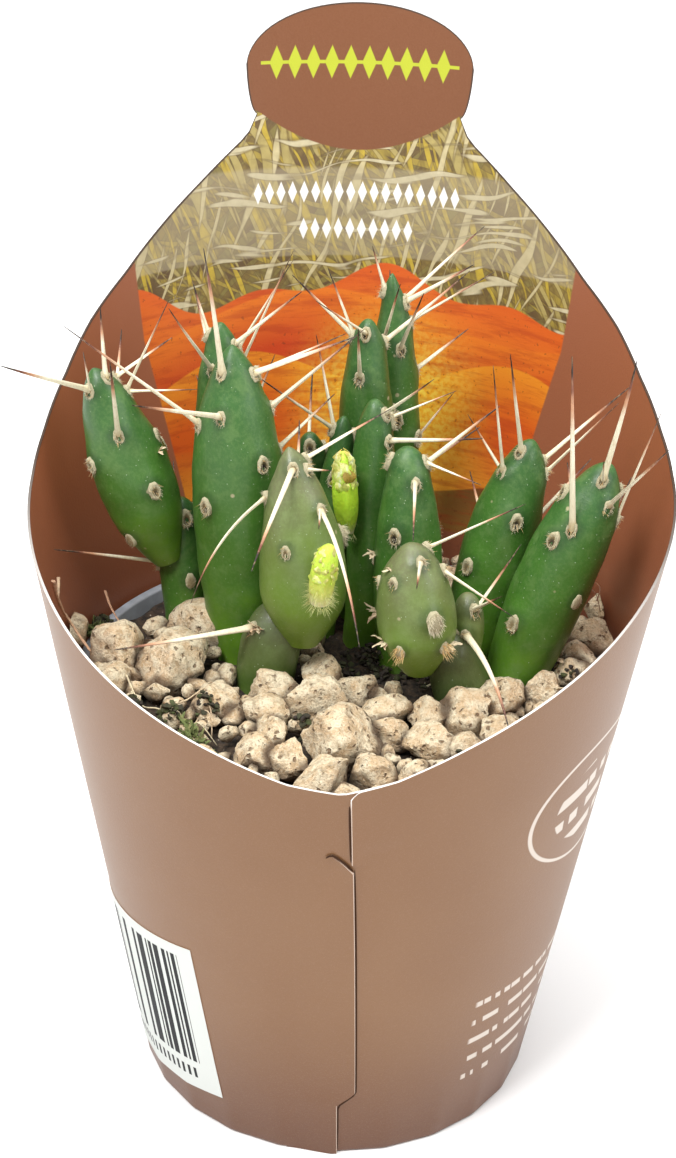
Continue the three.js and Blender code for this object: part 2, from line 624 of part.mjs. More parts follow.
function stoneBody({ x, y, width, turn, tilt, seed }) {
  const random = randomRun(seed);
  const shape = new THREE.IcosahedronGeometry(0.5).deleteAttribute('normal').deleteAttribute('uv');
  const stone = mergeVertices(shape, 1e-4);
  const position = stone.attributes.position;
  for (let i = 0; i < position.count; i += 1) {
    const grow = width * (1 + STONE_FIELD.jitter * 2 * (random() - 0.5));
    const [long, broad, thick] = STONE_FIELD.shape.map((size) => size * grow);
    position.setXYZ(i, position.getX(i) * long, position.getY(i) * broad, position.getZ(i) * thick);
  }
  stone.rotateX(tilt).rotateZ(turn);
  const mound = Math.max(0, Math.hypot(x, y) - STONE_FIELD.moundFrom) * STONE_FIELD.moundSlope;
  return solidOf(stone.translate(x, y, GRAVEL_LEVEL + width * STONE_FIELD.sink + mound));
}

// The gravel: stones fused to each other and to a thin bed of grit that fills the pot's top.
function gravelSolid(holes) {
  const bed = turned([
    [0, GRAVEL_UNDERSIDE], [potInnerRadius(GRAVEL_UNDERSIDE) - GAP, GRAVEL_UNDERSIDE],
    [potInnerRadius(POT_TOP) - GAP, POT_TOP + 0.6], [20, GRAVEL_LEVEL], [0, GRAVEL_LEVEL],
  ], POT_SIDES);
  const inSleeve = turned([
    [0, 45], [sleeveRadius(45) - CARD - GAP, 45], [sleeveRadius(70) - CARD - GAP, 70], [0, 70],
  ], SLEEVE_SIDES);
  const overRim = turned([
    [potInnerRadius(45) - GAP, 40], [60, 40], [60, POT_TOP + GAP],
    [potInnerRadius(POT_TOP) - GAP, POT_TOP + GAP], [potInnerRadius(45) - GAP, 40],
  ], POT_SIDES);
  const stones = joined([bed, ...stoneList().map(stoneBody)]);
  return mainPiece(stones.intersect(inSleeve).subtract(overRim).subtract(holes).simplify(FUSE_TOLERANCE));
}

function named(name, solid, color, roughness) {
  const material = new THREE.MeshStandardMaterial({ color, roughness, metalness: 0 });
  const mesh = new THREE.Mesh(geometryOf(solid), material);
  mesh.name = name;
  return mesh;
}

const COLORS = {
  card: 0xa5826d, pot: 0x8d99a6, soil: 0x2b2119, pumice: 0xd7c3a5,
  oldStem: 0x376e3c, youngStem: 0x6e8c64, shoot: 0xa5c832,
};

const part = new THREE.Group();
const holes = stemHoles();
part.add(named('card_sleeve', cardSleeve(), COLORS.card, 0.45));
part.add(named('nursery_pot', nurseryPot(), COLORS.pot, 0.4));
part.add(named('soil', soilSolid(holes), COLORS.soil, 0.95));
part.add(named('pumice_gravel', gravelSolid(holes), COLORS.pumice, 0.9));
Object.keys(STEMS).forEach((stem, i) => {
  const color = stem.startsWith('stem_front') ? COLORS.youngStem : COLORS.oldStem;
  part.add(named(stem, stemSolid(stem, 11 + i), color, 0.5));
});
for (const [shoot, joint] of Object.entries(SHOOTS)) {
  part.add(named(shoot, shootSolid(joint), COLORS.shoot, 0.45));
}
part.position.set(-BOX_CENTRE.x, -BOX_CENTRE.y, 0);

export default part;
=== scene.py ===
"""A potted Maihueniopsis molfinoi: the looks of the clump, its gravel, its pot and its card sleeve.

Lengths in the tables are millimetres from the sleeve's axis and the surface it stands on, as in the
part's own source. Draft.object moves them into the part's frame, in metres.
"""

import logging
import math
from collections.abc import Sequence
from dataclasses import dataclass, field
from enum import Enum
from typing import NamedTuple

import bmesh
import bpy
import numpy as np
from mathutils import Matrix, Vector, noise
from mathutils.bvhtree import BVHTree


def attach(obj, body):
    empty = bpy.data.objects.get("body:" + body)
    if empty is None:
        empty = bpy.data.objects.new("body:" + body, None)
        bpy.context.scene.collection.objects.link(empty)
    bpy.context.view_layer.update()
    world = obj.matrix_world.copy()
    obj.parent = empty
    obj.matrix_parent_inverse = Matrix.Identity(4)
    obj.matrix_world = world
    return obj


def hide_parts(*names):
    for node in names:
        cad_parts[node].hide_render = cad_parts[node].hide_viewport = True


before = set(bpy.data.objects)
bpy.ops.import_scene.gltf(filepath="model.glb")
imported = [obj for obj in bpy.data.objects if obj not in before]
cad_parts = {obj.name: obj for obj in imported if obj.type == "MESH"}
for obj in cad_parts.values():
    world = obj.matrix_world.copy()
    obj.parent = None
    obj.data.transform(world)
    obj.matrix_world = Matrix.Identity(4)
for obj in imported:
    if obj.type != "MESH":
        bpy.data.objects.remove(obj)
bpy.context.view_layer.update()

log = logging.getLogger("potted_maihueniopsis")

MM = 0.001
AXIS = np.array([0.54, -5.246, 0.0])
FRONT = np.array([0.0, -1.0, 0.0])
GAP = 0.35

Triple = tuple[float, float, float]
Colour = tuple[float, float, float]


class Slot(Enum):
    """The record's material slots."""

    CARD = "sleeve_card"
    POT = "pot_plastic"
    SOIL = "soil"
    PUMICE = "pumice"
    STEM = "stem_skin"
    YOUNG_STEM = "young_stem_skin"
    SHOOT = "shoot_skin"


class SeededRun:
    """A seeded run of numbers between 0 and 1, the same as in the part's source."""

    def __init__(self, seed: int) -> None:
        """Starts the run at its seed."""
        self.state = seed

    def __call__(self) -> float:
        """The next number."""
        self.state = self.state * 16807 % 2147483647
        return self.state / 2147483647

    def between(self, low: float, high: float) -> float:
        """The next number, scaled to run from low to high."""
        return low + (high - low) * self()


def unit(vector: np.ndarray) -> np.ndarray:
    """The vector, or each row of vectors, at length 1."""
    return vector / np.linalg.norm(vector, axis=-1, keepdims=True)


def heading(degrees: float, rise: float = 0.0) -> np.ndarray:
    """A unit vector by its heading, in degrees from the front to the right, and its rise.

    Args:
        degrees: its heading.
        rise: its angle above level, in degrees.

    Returns:
        The vector.
    """
    turn, lift = math.radians(degrees), math.radians(rise)
    level = math.cos(lift)
    return np.array([level * math.sin(turn), -level * math.cos(turn), math.sin(lift)])


def bearing(x: float, y: float) -> float:
    """A place's angle round the sleeve's axis, in degrees from the front to the right."""
    return math.degrees(math.atan2(x, -y))


def ring_angles(sides: int) -> np.ndarray:
    """The angles of the corners round a ring, in radians."""
    return np.arange(sides) * 2 * math.pi / sides


def unit_circle(sides: int) -> np.ndarray:
    """The corners of a circle of radius 1 round the sleeve's axis, from the front to the right."""
    angles = ring_angles(sides)
    return np.stack([np.sin(angles), -np.cos(angles)], axis=1)


def raised(flat: np.ndarray, height: float | list[float]) -> np.ndarray:
    """Places on the ground, brought to one height or to a height each."""
    return np.column_stack([flat, np.broadcast_to(height, len(flat))])


def strips(starts: Sequence[int], columns: int, closed: bool = False) -> list[tuple[int, ...]]:
    """Four-sided faces between rows of points.

    Args:
        starts: the number of each row's first point.
        columns: how many points a row has.
        closed: whether a row's last point joins its first.

    Returns:
        The corner numbers of the faces.
    """
    spans = columns if closed else columns - 1
    return [
        (low + c, low + (c + 1) % columns, high + (c + 1) % columns, high + c)
        for low, high in zip(starts, starts[1:]) for c in range(spans)
    ]


def smooth(value: float | np.ndarray) -> float | np.ndarray:
    """A smooth step from 0 to 1 while the value goes from 0 to 1."""
    held = np.clip(value, 0.0, 1.0)
    return held * held * (3 - 2 * held)


def smooth_through(knots: np.ndarray, place: float) -> np.ndarray:
    """A place on the smooth line through knots, counted in knots from the first.

    Args:
        knots: the places that the line passes, one in each row.
        place: 1.5 is half way from the second knot to the third.

    Returns:
        The point on the line.
    """
    last = len(knots) - 1
    i = min(int(place), last - 1)
    t = place - i
    before, start, end, after = (knots[min(max(j, 0), last)] for j in (i - 1, i, i + 1, i + 2))
    pull = (end - before) * t + (2 * before - 5 * start + 4 * end - after) * t ** 2
    return start + 0.5 * (pull + (3 * start - before - 3 * end + after) * t ** 3)


class Draft:
    """A mesh being gathered, in millimetres, with numbers painted on its points."""

    NEEDLE_TURNS = (0.0, 2.0944, 4.1888)
    SCALE_SIDES = 12
    SCALE_RINGS = 11

    def __init__(self, *marks: str) -> None:
        """Starts an empty mesh.

        Args:
            marks: names of the numbers that each point carries.
        """
        self.names = marks
        self.points: list[np.ndarray] = []
        self.marks: dict[str, list[np.ndarray]] = {name: [] for name in marks}
        self.faces: list[tuple[int, ...]] = []
        self.tints: list[int] = []
        self.count = 0

    def add(self, points: np.ndarray, faces: list[tuple[int, ...]], tint: int | list[int] = 0,
            **marks: object) -> None:
        """Adds points and faces.

        Args:
            points: an array with one point in each row.
            faces: corner numbers within those points.
            tint: which of the piece's materials all faces take, or each face takes.
            marks: one number, or one for each point, by name.
        """
        start = self.count
        self.points.append(points)
        for name in self.names:
            values = np.broadcast_to(np.asarray(marks.get(name, 0.0), float), (len(points),))
            self.marks[name].append(values)
        self.faces.extend(tuple(start + corner for corner in face) for face in faces)
        self.tints.extend(np.broadcast_to(tint, len(faces)).tolist())
        self.count += len(points)

    def tube(self, rings: np.ndarray, tip: np.ndarray | None = None, tint: int = 0,
             **marks: object) -> None:
        """Adds a closed skin over rings of points.

        Args:
            rings: an array of rings, each with the same number of points.
            tip: a point that closes the last ring, or None for a flat end.
            tint: which of the piece's materials the faces take.
            marks: one number, one for each ring or one for each point, by name.
        """
        rows, sides = rings.shape[:2]
        points = rings.reshape(-1, 3)
        faces = strips(range(0, rows * sides, sides), sides, closed=True)
        last = (rows - 1) * sides
        faces.append(tuple(reversed(range(sides))))
        spread = {}
        for name, value in marks.items():
            values = np.asarray(value, float)
            values = values if values.ndim == 2 else values[..., None]
            spread[name] = np.broadcast_to(values, (rows, sides)).reshape(-1)
        if tip is None:
            faces.append(tuple(range(last, last + sides)))
        else:
            points = np.vstack([points, tip])
            faces += [(last + c, last + (c + 1) % sides, rows * sides) for c in range(sides)]
            spread = {name: np.append(values, values[-1]) for name, values in spread.items()}
        self.add(points, faces, tint, **spread)

    def needles(self, roots: np.ndarray, tips: np.ndarray, width: float, tint: int = 0,
                **marks: float) -> None:
        """Adds straight three-sided needles.

        Args:
            roots: where they start, one in each row.
            tips: where they end.
            width: thickness at the root.
            tint: which of the piece's materials they take.
            marks: numbers by name, painted at the tips, with 0 at the roots.
        """
        along = unit(tips - roots)
        side = unit(np.cross(along, np.array([0.31, 0.22, 0.92])))
        other = np.cross(along, side)
        corners = []
        for turn in self.NEEDLE_TURNS:
            corners.append(roots + (side * math.cos(turn) + other * math.sin(turn)) * width / 2)
        count = len(roots)
        points = np.stack([*corners, tips], axis=1).reshape(-1, 3)
        faces = []
        for i in range(0, 4 * count, 4):
            faces += [(i, i + 1, i + 3), (i + 1, i + 2, i + 3), (i + 2, i, i + 3), (i + 2, i + 1, i)]
        painted = {name: np.tile([0.0, 0.0, 0.0, value], count) for name, value in marks.items()}
        self.add(points, faces, tint, **painted)

    def strand(self, points: list[Triple], width: float, tint: int = 0, sides: int = 7,
               flat: float = 1.0, **marks: object) -> None:
        """Adds a thin strand along a smooth line, thinner towards its end.

        Args:
            points: places that it passes.
            width: its thickness at the start.
            tint: which of the piece's materials it takes.
            sides: faces round it.
            flat: its thickness as a share of its width.
            marks: one number by name.
        """
        knots = np.array(points, float)
        along = np.linspace(0, len(knots) - 1, 5 * len(knots))
        line = np.array([smooth_through(knots, place) for place in along])
        course = unit(np.gradient(line, axis=0))
        side = unit(np.cross(course, np.array([0.21, 0.13, 0.97])))
        other = np.cross(side, course)
        share = np.linspace(0, 1, len(line))
        half = width / 2 * (1 - 0.45 * share) * (1 + 0.12 * np.sin(share * 23))
        turns = ring_angles(sides)
        rings = line[:, None, :] + (half[:, None] * np.cos(turns))[..., None] * side[:, None, :]
        rings = rings + (half[:, None] * flat * np.sin(turns))[..., None] * other[:, None, :]
        self.tube(rings, line[-1] + course[-1] * half[-1], tint, **marks)

    def scale(self, place: np.ndarray, along: np.ndarray, out: np.ndarray, length: float, width: float,
              curl: float, tint: int = 0, phase: float = 0.0, **marks: object) -> None:
        """Adds one thin, pointed and crumpled scale.

        Args:
            place: where it is attached.
            along: the direction it grows in.
            out: the direction that its back faces.
            length: its length.
            width: half its width.
            curl: how far its tip bends back, as a share of its length.
            tint: which of the piece's materials it takes.
            phase: shifts its crumples.
            marks: one number, or one for each of its rings, by name.
        """
        side = np.cross(along, out)
        turns = ring_angles(self.SCALE_SIDES)
        rings = []
        for t in np.linspace(0, 1, self.SCALE_RINGS):
            waver = 0.10 * math.sin(5 * t + phase) * length * t
            middle = place + along * length * t + out * (0.30 * t - curl * t * t) * length + side * waver
            wide = width * math.sin(math.pi * (0.28 + 0.66 * t)) + 0.02
            ripple = 1 + 0.2 * math.sin(11 * t + phase * 3)
            across, deep = np.cos(turns) * ripple, np.sin(turns)
            cup = (across ** 2) * 0.35 * math.sin(phase + 4 * t)
            thick = (0.26 - 0.14 * t) * width
            rings.append(middle + np.outer(across * wide, side) + np.outer(deep * thick + cup * wide, out))
        self.tube(np.array(rings), rings[-1].mean(axis=0) + along * 0.06, tint, **marks)

    def sheet(self, outer: np.ndarray, inner: np.ndarray, faces: list[tuple[int, ...]],
              **marks: object) -> None:
        """Adds a sheet with its outer face in tint 0, its inner face in tint 1 and cut edges in tint 2.

        Args:
            outer: the outer face's points.
            inner: the inner face's points, in the same order.
            faces: corner numbers of the outer face, as seen from outside.
            marks: painted numbers by name, for the outer and then the inner points.
        """
        count = len(outer)
        edges = {edge for face in faces for edge in zip(face, face[1:] + face[:1])}
        open_edges = [(a, b) for a, b in edges if (b, a) not in edges]
        backs = [tuple(count + corner for corner in reversed(face)) for face in faces]
        sides = [(b, a, a + count, b + count) for a, b in sorted(open_edges)]
        folded = [0 if outer[a][2] + outer[b][2] < 1e-6 else 2 for a, b in sorted(open_edges)]
        tints = [0] * len(faces) + [1] * len(backs) + folded
        self.add(np.vstack([outer, inner]), faces + backs + sides, tints, **marks)

    def mesh(self, name: str) -> bpy.types.Mesh:
        """The gathered mesh in the part's frame, in metres.

        Args:
            name: the mesh's name.

        Returns:
            The mesh, without materials.
        """
        mesh = bpy.data.meshes.new(name)
        mesh.from_pydata((np.vstack(self.points) + AXIS) * MM, [], self.faces)
        return mesh

    def object(self, name: str, materials: list[bpy.types.Material], slot: Slot,
               replaces: tuple[str, ...] = (), crease: float = 50.0) -> bpy.types.Object:
        """Makes the piece and puts it into the part.

        Args:
            name: the piece's name.
            materials: its materials, in the order of the tints.
            slot: the record's slot for its finish; not used.
            replaces: the CAD nodes that it stands for.
            crease: the angle in degrees past which an edge stays sharp.

        Returns:
            The finished object.
        """
        mesh = self.mesh(name)
        for mark in self.names:
            layer = mesh.attributes.new(mark, "FLOAT", "POINT")
            layer.data.foreach_set("value", np.concatenate(self.marks[mark]).astype(np.float32))
        mesh.polygons.foreach_set("material_index", self.tints)
        mesh.polygons.foreach_set("use_smooth", [True] * len(mesh.polygons))
        for material in materials:
            mesh.materials.append(material)
        mesh.update()
        mesh.set_sharp_from_angle(angle=math.radians(crease))
        piece = bpy.data.objects.new(name, mesh)
        bpy.context.scene.collection.objects.link(piece)
        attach(piece, "root")
        for node in replaces:
            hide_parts(node)
        log.info("%s: %d faces", name, len(self.faces))
        return piece


class Wire:
    """One output of a shader node, with arithmetic on it."""

    def __init__(self, recipe: "Recipe", socket: bpy.types.NodeSocket) -> None:
        """Wraps a socket."""
        self.recipe = recipe
        self.socket = socket

    def math(self, operation: str, *others: object) -> "Wire":
        """Adds a Math node on this value and up to two others."""
        inputs = dict(enumerate((self, *others)))
        return self.recipe.node("ShaderNodeMath", {"operation": operation}, inputs)

    def __add__(self, other: object) -> "Wire":
        """self + other."""
        return self.math("ADD", other)

    __radd__ = __add__

    def __mul__(self, other: object) -> "Wire":
        """self * other."""
        return self.math("MULTIPLY", other)

    __rmul__ = __mul__

    def __sub__(self, other: object) -> "Wire":
        """self - other."""
        return self.math("SUBTRACT", other)

    def __rsub__(self, other: float) -> "Wire":
        """other - self."""
        return self * -1.0 + other

    def __truediv__(self, other: object) -> "Wire":
        """self / other."""
        return self.math("DIVIDE", other)

    def __pow__(self, other: float) -> "Wire":
        """self to a power."""
        return self.math("POWER", other)

    def __abs__(self) -> "Wire":
        """The value without its sign."""
        return self.math("ABSOLUTE")

    def sine(self) -> "Wire":
        """The sine of the value."""
        return self.math("SINE")

    def floor(self) -> "Wire":
        """The whole number below the value."""
        return self.math("FLOOR")

    def fraction(self) -> "Wire":
        """What is left above the whole number."""
        return self.math("FRACT")

    def above(self, edge: float, soft: float = 0.01) -> "Wire":
        """A step from 0 to 1 at an edge, softened over a width.

        Args:
            edge: where the step is.
            soft: how far it reaches to both sides.

        Returns:
            The step.
        """
        settings = {"interpolation_type": "SMOOTHSTEP"}
        inputs = {"Value": self, "From Min": edge - soft, "From Max": edge + soft}
        return self.recipe.node("ShaderNodeMapRange", settings, inputs)

    def below(self, edge: float, soft: float = 0.01) -> "Wire":
        """A step from 1 to 0 at an edge, softened over a width."""
        return 1.0 - self.above(edge, soft)


class Recipe:
    """A material's node tree, built by plain calls."""

    def __init__(self, name: str) -> None:
        """Starts an empty material."""
        self.material = bpy.data.materials.new(name)
        self.material.use_nodes = True
        self.tree = self.material.node_tree
        self.tree.nodes.clear()

    def node(self, kind: str, settings: dict[str, object], inputs: dict[object, object],
             output: object = 0) -> Wire:
        """Adds one node.

        Args:
            kind: the node's type.
            settings: its own settings, set before its inputs.
            inputs: values or wires by socket name or number.
            output: which output is wanted.

        Returns:
            That output as a wire.
        """
        made = self.tree.nodes.new(kind)
        for name, value in settings.items():
            if name == "stops":
                self._stops(made.color_ramp, value)
            else:
                setattr(made, name, value)
        for key, value in inputs.items():
            socket = made.inputs[key]
            if isinstance(value, Wire):
                self.tree.links.new(value.socket, socket)
            elif isinstance(value, tuple) and len(value) == 3 and socket.type == "RGBA":
                socket.default_value = (*value, 1.0)
            else:
                socket.default_value = value
        return Wire(self, made.outputs[output])

    @staticmethod
    def _stops(ramp: bpy.types.ColorRamp, stops: Sequence[tuple[float, Colour]]) -> None:
        """Sets a ramp's stops from places and colours.

        Args:
            ramp: the ramp.
            stops: the place and colour of each stop.
        """
        while len(ramp.elements) < len(stops):
            ramp.elements.new(0.5)
        for element, (place, colour) in zip(ramp.elements, stops):
            element.position = place
            element.color = (*colour, 1.0)

    def place(self) -> Wire:
        """The place on the part in millimetres from the sleeve's axis."""
        spot = self.node("ShaderNodeTexCoord", {}, {}, "Object")
        inputs = {0: spot, 1: (1 / MM, 1 / MM, 1 / MM), 2: tuple(-AXIS)}
        return self.node("ShaderNodeVectorMath", {"operation": "MULTIPLY_ADD"}, inputs)

    def parts(self, vector: Wire) -> tuple[Wire, Wire, Wire]:
        """The three numbers of a vector."""
        split = self.node("ShaderNodeSeparateXYZ", {}, {0: vector})
        outputs = split.socket.node.outputs
        return Wire(self, outputs[0]), Wire(self, outputs[1]), Wire(self, outputs[2])

    def vector(self, x: object, y: object, z: object = 0.0) -> Wire:
        """A vector from three numbers."""
        return self.node("ShaderNodeCombineXYZ", {}, {0: x, 1: y, 2: z})

    def stretched(self, vector: Wire, factors: Triple) -> Wire:
        """A vector with each of its numbers multiplied."""
        return self.node("ShaderNodeVectorMath", {"operation": "MULTIPLY"}, {0: vector, 1: factors})

    def mark(self, name: str) -> Wire:
        """A number painted on the mesh."""
        return self.node("ShaderNodeAttribute", {"attribute_name": name}, {}, "Fac")

    def noise(self, vector: Wire, scale: float, detail: float = 3.0, rough: float = 0.5) -> Wire:
        """Smooth noise round 0.5."""
        inputs = {"Vector": vector, "Scale": scale, "Detail": detail, "Roughness": rough}
        return self.node("ShaderNodeTexNoise", {}, inputs)

    def cells(self, vector: Wire, scale: float) -> Wire:
        """The distance to the nearest of scattered points."""
        return self.node("ShaderNodeTexVoronoi", {}, {"Vector": vector, "Scale": scale})

    def random(self, value: Wire) -> Wire:
        """A random number for each value."""
        return self.node("ShaderNodeTexWhiteNoise", {"noise_dimensions": "1D"}, {"W": value})

    def ramp(self, factor: Wire, stops: Sequence[tuple[float, Colour]]) -> Wire:
        """A colour that runs through stops."""
        return self.node("ShaderNodeValToRGB", {"stops": stops}, {0: factor})

    def mix(self, factor: object, first: object, second: object, mode: str = "MIX") -> Wire:
        """A blend of two colours."""
        settings = {"data_type": "RGBA", "blend_type": mode}
        return self.node("ShaderNodeMix", settings, {0: factor, 6: first, 7: second}, 2)

    def bump(self, height: Wire, distance: float, strength: float = 1.0) -> Wire:
        """A surface relief from a height.

        Args:
            height: the height, from 0 to 1.
            distance: the relief's depth in millimetres.
            strength: how much of it shows.

        Returns:
            The normal to feed to a shader.
        """
        inputs = {"Height": height, "Distance": distance * MM, "Strength": strength}
        return self.node("ShaderNodeBump", {}, inputs)

    def finish(self, **inputs: object) -> bpy.types.Material:
        """Closes the material with one surface shader.

        Args:
            inputs: values or wires by the shader's socket names, with _ for a space.

        Returns:
            The finished material.
        """
        named = {name.replace("_", " "): value for name, value in inputs.items()}
        surface = self.node("ShaderNodeBsdfPrincipled", {}, named)
        end = self.tree.nodes.new("ShaderNodeOutputMaterial")
        self.tree.links.new(surface.socket, end.inputs["Surface"])
        return self.material


@dataclass(frozen=True)
class Sleeve:
    """The sizes of the card cone and its shield, which its finishes and its meshes share.

    rim_line has the angle and height of places on the card's top edge. dark_edge_from is the height above
    which that edge is dark, and how gradually it turns.
    """

    base_radius: float = 24.6
    slope: float = 0.1666
    height: float = 123.2
    card: float = 0.6
    sheet: float = 0.3
    neck_height: float = 110.0
    neck_angle: float = 17.3
    head_height: float = 115.5
    head_angle: float = 18.8
    skew: float = 2.6
    dark_edge_from: tuple[float, float] = (72.0, 7.0)
    rim_line: tuple[tuple[float, float], ...] = (
        (0, 57.9), (10, 59.2), (22, 62), (38, 65.4), (53, 68.6), (69, 72.4), (84, 75.6), (95, 77.8),
        (105, 80.6), (116, 84.8), (125, 89.2), (135, 93.4), (143, 97.6), (152, 102.4), (159.7, 106.8),
        (161.2, 107.9), (162.7, 110.0),
    )

    def radius(self, height: float | np.ndarray) -> float | np.ndarray:
        """The cone's outer radius at a height."""
        return self.base_radius + self.slope * height

    def inner(self, height: float | np.ndarray) -> float | np.ndarray:
        """The cone's inner radius at a height."""
        return self.radius(height) - self.card

    def hold(self, points: np.ndarray) -> np.ndarray:
        """Moves points inside the card.

        Args:
            points: one point in each row, changed where they are.

        Returns:
            How far each point lies from the axis afterwards.
        """
        away = np.hypot(points[:, 0], points[:, 1])
        room = self.inner(points[:, 2]) - GAP
        points[:, :2] *= np.minimum(1, room / np.maximum(away, 1e-6))[:, None]
        return np.minimum(away, room)

    def rim(self, degrees: float | np.ndarray) -> float | np.ndarray:
        """The height of the card's top edge at an angle from the front."""
        angles, heights = zip(*self.rim_line)
        lean = self.skew * np.sin(np.radians(degrees)) * np.cos(np.radians(degrees) / 2) ** 2
        return np.interp(np.abs(degrees), angles, heights) + lean

    def point(self, degrees: np.ndarray, height: np.ndarray, lift: np.ndarray) -> np.ndarray:
        """Points on the card.

        Args:
            degrees: angles from the front towards the right.
            height: heights above the base.
            lift: how far out of the card's outer face they lie.

        Returns:
            One point in each row.
        """
        turn = np.radians(degrees)
        out = self.radius(height) + lift
        return np.stack([out * np.sin(turn), -out * np.cos(turn), height + 0.0 * turn], axis=-1)


SLEEVE = Sleeve()


def on_card(recipe: Recipe, spot: Wire, facing: float) -> tuple[Wire, Wire, Wire]:
    """Unrolls the card.

    Args:
        recipe: the material that asks.
        spot: the place in millimetres.
        facing: -1 to count from the front, 1 to count from the back.

    Returns:
        The angle in radians, the length round the card in millimetres, and the height.
    """
    x, y, z = recipe.parts(spot)
    angle = x.math("ARCTAN2", y * facing)
    return angle, angle * (z * SLEEVE.slope + SLEEVE.base_radius), z


def dashes(recipe: Recipe, arc: Wire, height: Wire, top: float, pitch: float, thick: float) -> Wire:
    """Rows of dashes of uneven length.

    Args:
        recipe: the material that asks.
        arc: the place along the rows, in millimetres.
        height: the place across them, in millimetres.
        top: the first row's height.
        pitch: from one row to the next.
        thick: a dash's own height.

    Returns:
        1 on a dash and 0 beside it.
    """
    rows = (top - height) / pitch + 0.5
    across = abs(rows.fraction() - 0.5).below(thick / pitch / 2, 0.03)
    along = recipe.noise(recipe.vector(arc * 0.42, rows.floor() * 3.7), 1.0, 0.0)
    return across * along.above(0.44, 0.012)


def lozenges(arc: Wire, height: Wire, middle: float, pitch: float, tall: float, reach: float) -> Wire:
    """A row of upright lozenges.

    Args:
        arc: the place along the row, in millimetres.
        height: the place across it.
        middle: the row's height.
        pitch: from one lozenge to the next.
        tall: half a lozenge's height.
        reach: half the row's length.

    Returns:
        1 on a lozenge and 0 beside it.
    """
    across = abs((arc / pitch).fraction() - 0.5) * 2.6
    inside = (across + abs(height - middle) / tall).below(1.0, 0.08)
    return inside * abs(arc).below(reach, 0.05)


@dataclass(frozen=True)
class CardOutside:
    """The sleeve's outer face: brown print under a satin varnish, with pale line work at the right, and
    painted shade towards its base.
    """

    brown: Colour = (0.170, 0.074, 0.024)
    dusty: Colour = (0.196, 0.095, 0.038)
    # deep is the colour of the painted shade towards the base.
    deep: Colour = (0.094, 0.027, 0.007)
    fleck: Colour = (0.30, 0.19, 0.12)
    ink: Colour = (0.62, 0.55, 0.48)
    oval_middle: tuple[float, float] = (36.5, 46.7)
    oval_half: tuple[float, float] = (13.4, 8.3)
    oval_rows: Triple = (45.2, 3.4, 1.5)
    block_rows: Triple = (21.6, 3.1, 0.85)
    block_angles: tuple[float, float] = (0.63, 1.42)
    block_heights: tuple[float, float] = (7.0, 23.4)

    def line_work(self, recipe: Recipe, angle: Wire, arc: Wire, height: Wire) -> Wire:
        """The oval outline with rows of dashes in it, and the block of dashes under it.

        Args:
            recipe: the material that asks.
            angle: the angle from the front in radians.
            arc: the length round the card in millimetres.
            height: the height up the card.

        Returns:
            1 on the line work and 0 beside it.
        """
        across = (arc - self.oval_middle[0]) / self.oval_half[0]
        upright = (height - self.oval_middle[1]) / self.oval_half[1]
        ring = (across ** 2.0 + upright ** 2.0) ** 0.5
        outline = abs(ring - 1.0).below(0.024, 0.008)
        badge = dashes(recipe, arc, height - arc * 0.12, *self.oval_rows) * ring.below(0.68, 0.01)
        block = dashes(recipe, arc * 1.8, height, *self.block_rows)
        for place, (low, high), soft in ((angle, self.block_angles, 0.01), (height, self.block_heights, 0.2)):
            block = block * place.above(low, soft) * place.below(high, soft)
        return outline.math("MAXIMUM", badge).math("MAXIMUM", block)

    def material(self) -> bpy.types.Material:
        """Builds the node tree.

        Returns:
            The finished material.
        """
        recipe = Recipe("sleeve_brown_print")
        spot = recipe.place()
        angle, arc, height = on_card(recipe, spot, -1.0)
        cloud = recipe.noise(spot, 0.05, 2.0)
        grain = recipe.noise(spot, 5.0, 2.0)
        base = recipe.mix(cloud.above(0.5, 0.25) * 0.6 + grain * 0.25, self.brown, self.dusty)
        # Painted shade: darker and redder towards the base, where less light reaches.
        base = recipe.mix(height.below(12.0, 14.0) * 0.8, base, self.deep)
        fleck = recipe.noise(spot, 9.0, 2.0)
        base = recipe.mix(fleck.above(0.6, 0.08) * 0.18, base, self.fleck)
        colour = recipe.mix(self.line_work(recipe, angle, arc, height) * 0.85, base, self.ink)
        relief = recipe.bump(recipe.noise(spot, 3.2, 3.0) * 0.6 + cloud * 0.4, 0.03)
        return recipe.finish(
            Base_Color=colour, Roughness=0.36 + grain * 0.12, Normal=relief,
            Specular_IOR_Level=0.42, Coat_Weight=0.1, Coat_Roughness=0.3)


class Blades(NamedTuple):
    """One layer of the printed grass: its slant in radians, colour, seed and how sparse it is."""

    slant: float
    tone: Colour
    seed: float
    edge: float


BLADES = (
    Blades(0.75, (0.22, 0.18, 0.05), 3.0, 0.54), Blades(-0.4, (0.42, 0.31, 0.05), 11.0, 0.56),
    Blades(1.9, (0.60, 0.43, 0.04), 23.0, 0.58), Blades(-1.0, (0.50, 0.40, 0.14), 37.0, 0.585),
    Blades(1.25, (0.70, 0.60, 0.34), 51.0, 0.61), Blades(0.1, (0.72, 0.64, 0.42), 67.0, 0.63),
)


class Dune(NamedTuple):
    """One printed dune: its crest's height, swing, rate and phase, and its colours from top to foot."""

    level: float
    swing: float
    rate: float
    phase: float
    near: Colour
    far: Colour


DUNES = (
    Dune(91.0, 2.0, 0.15, 0.4, (0.60, 0.085, 0.010), (0.66, 0.14, 0.014)),
    Dune(85.5, 2.6, 0.12, 2.2, (0.70, 0.17, 0.014), (0.52, 0.052, 0.010)),
    Dune(78.0, 2.4, 0.17, 4.1, (0.74, 0.25, 0.016), (0.62, 0.10, 0.010)),
    Dune(70.5, 2.0, 0.13, 0.9, (0.60, 0.11, 0.012), (0.72, 0.28, 0.025)),
    Dune(63.5, 1.4, 0.2, 3.0, (0.16, 0.065, 0.018), (0.30, 0.15, 0.03)),
)


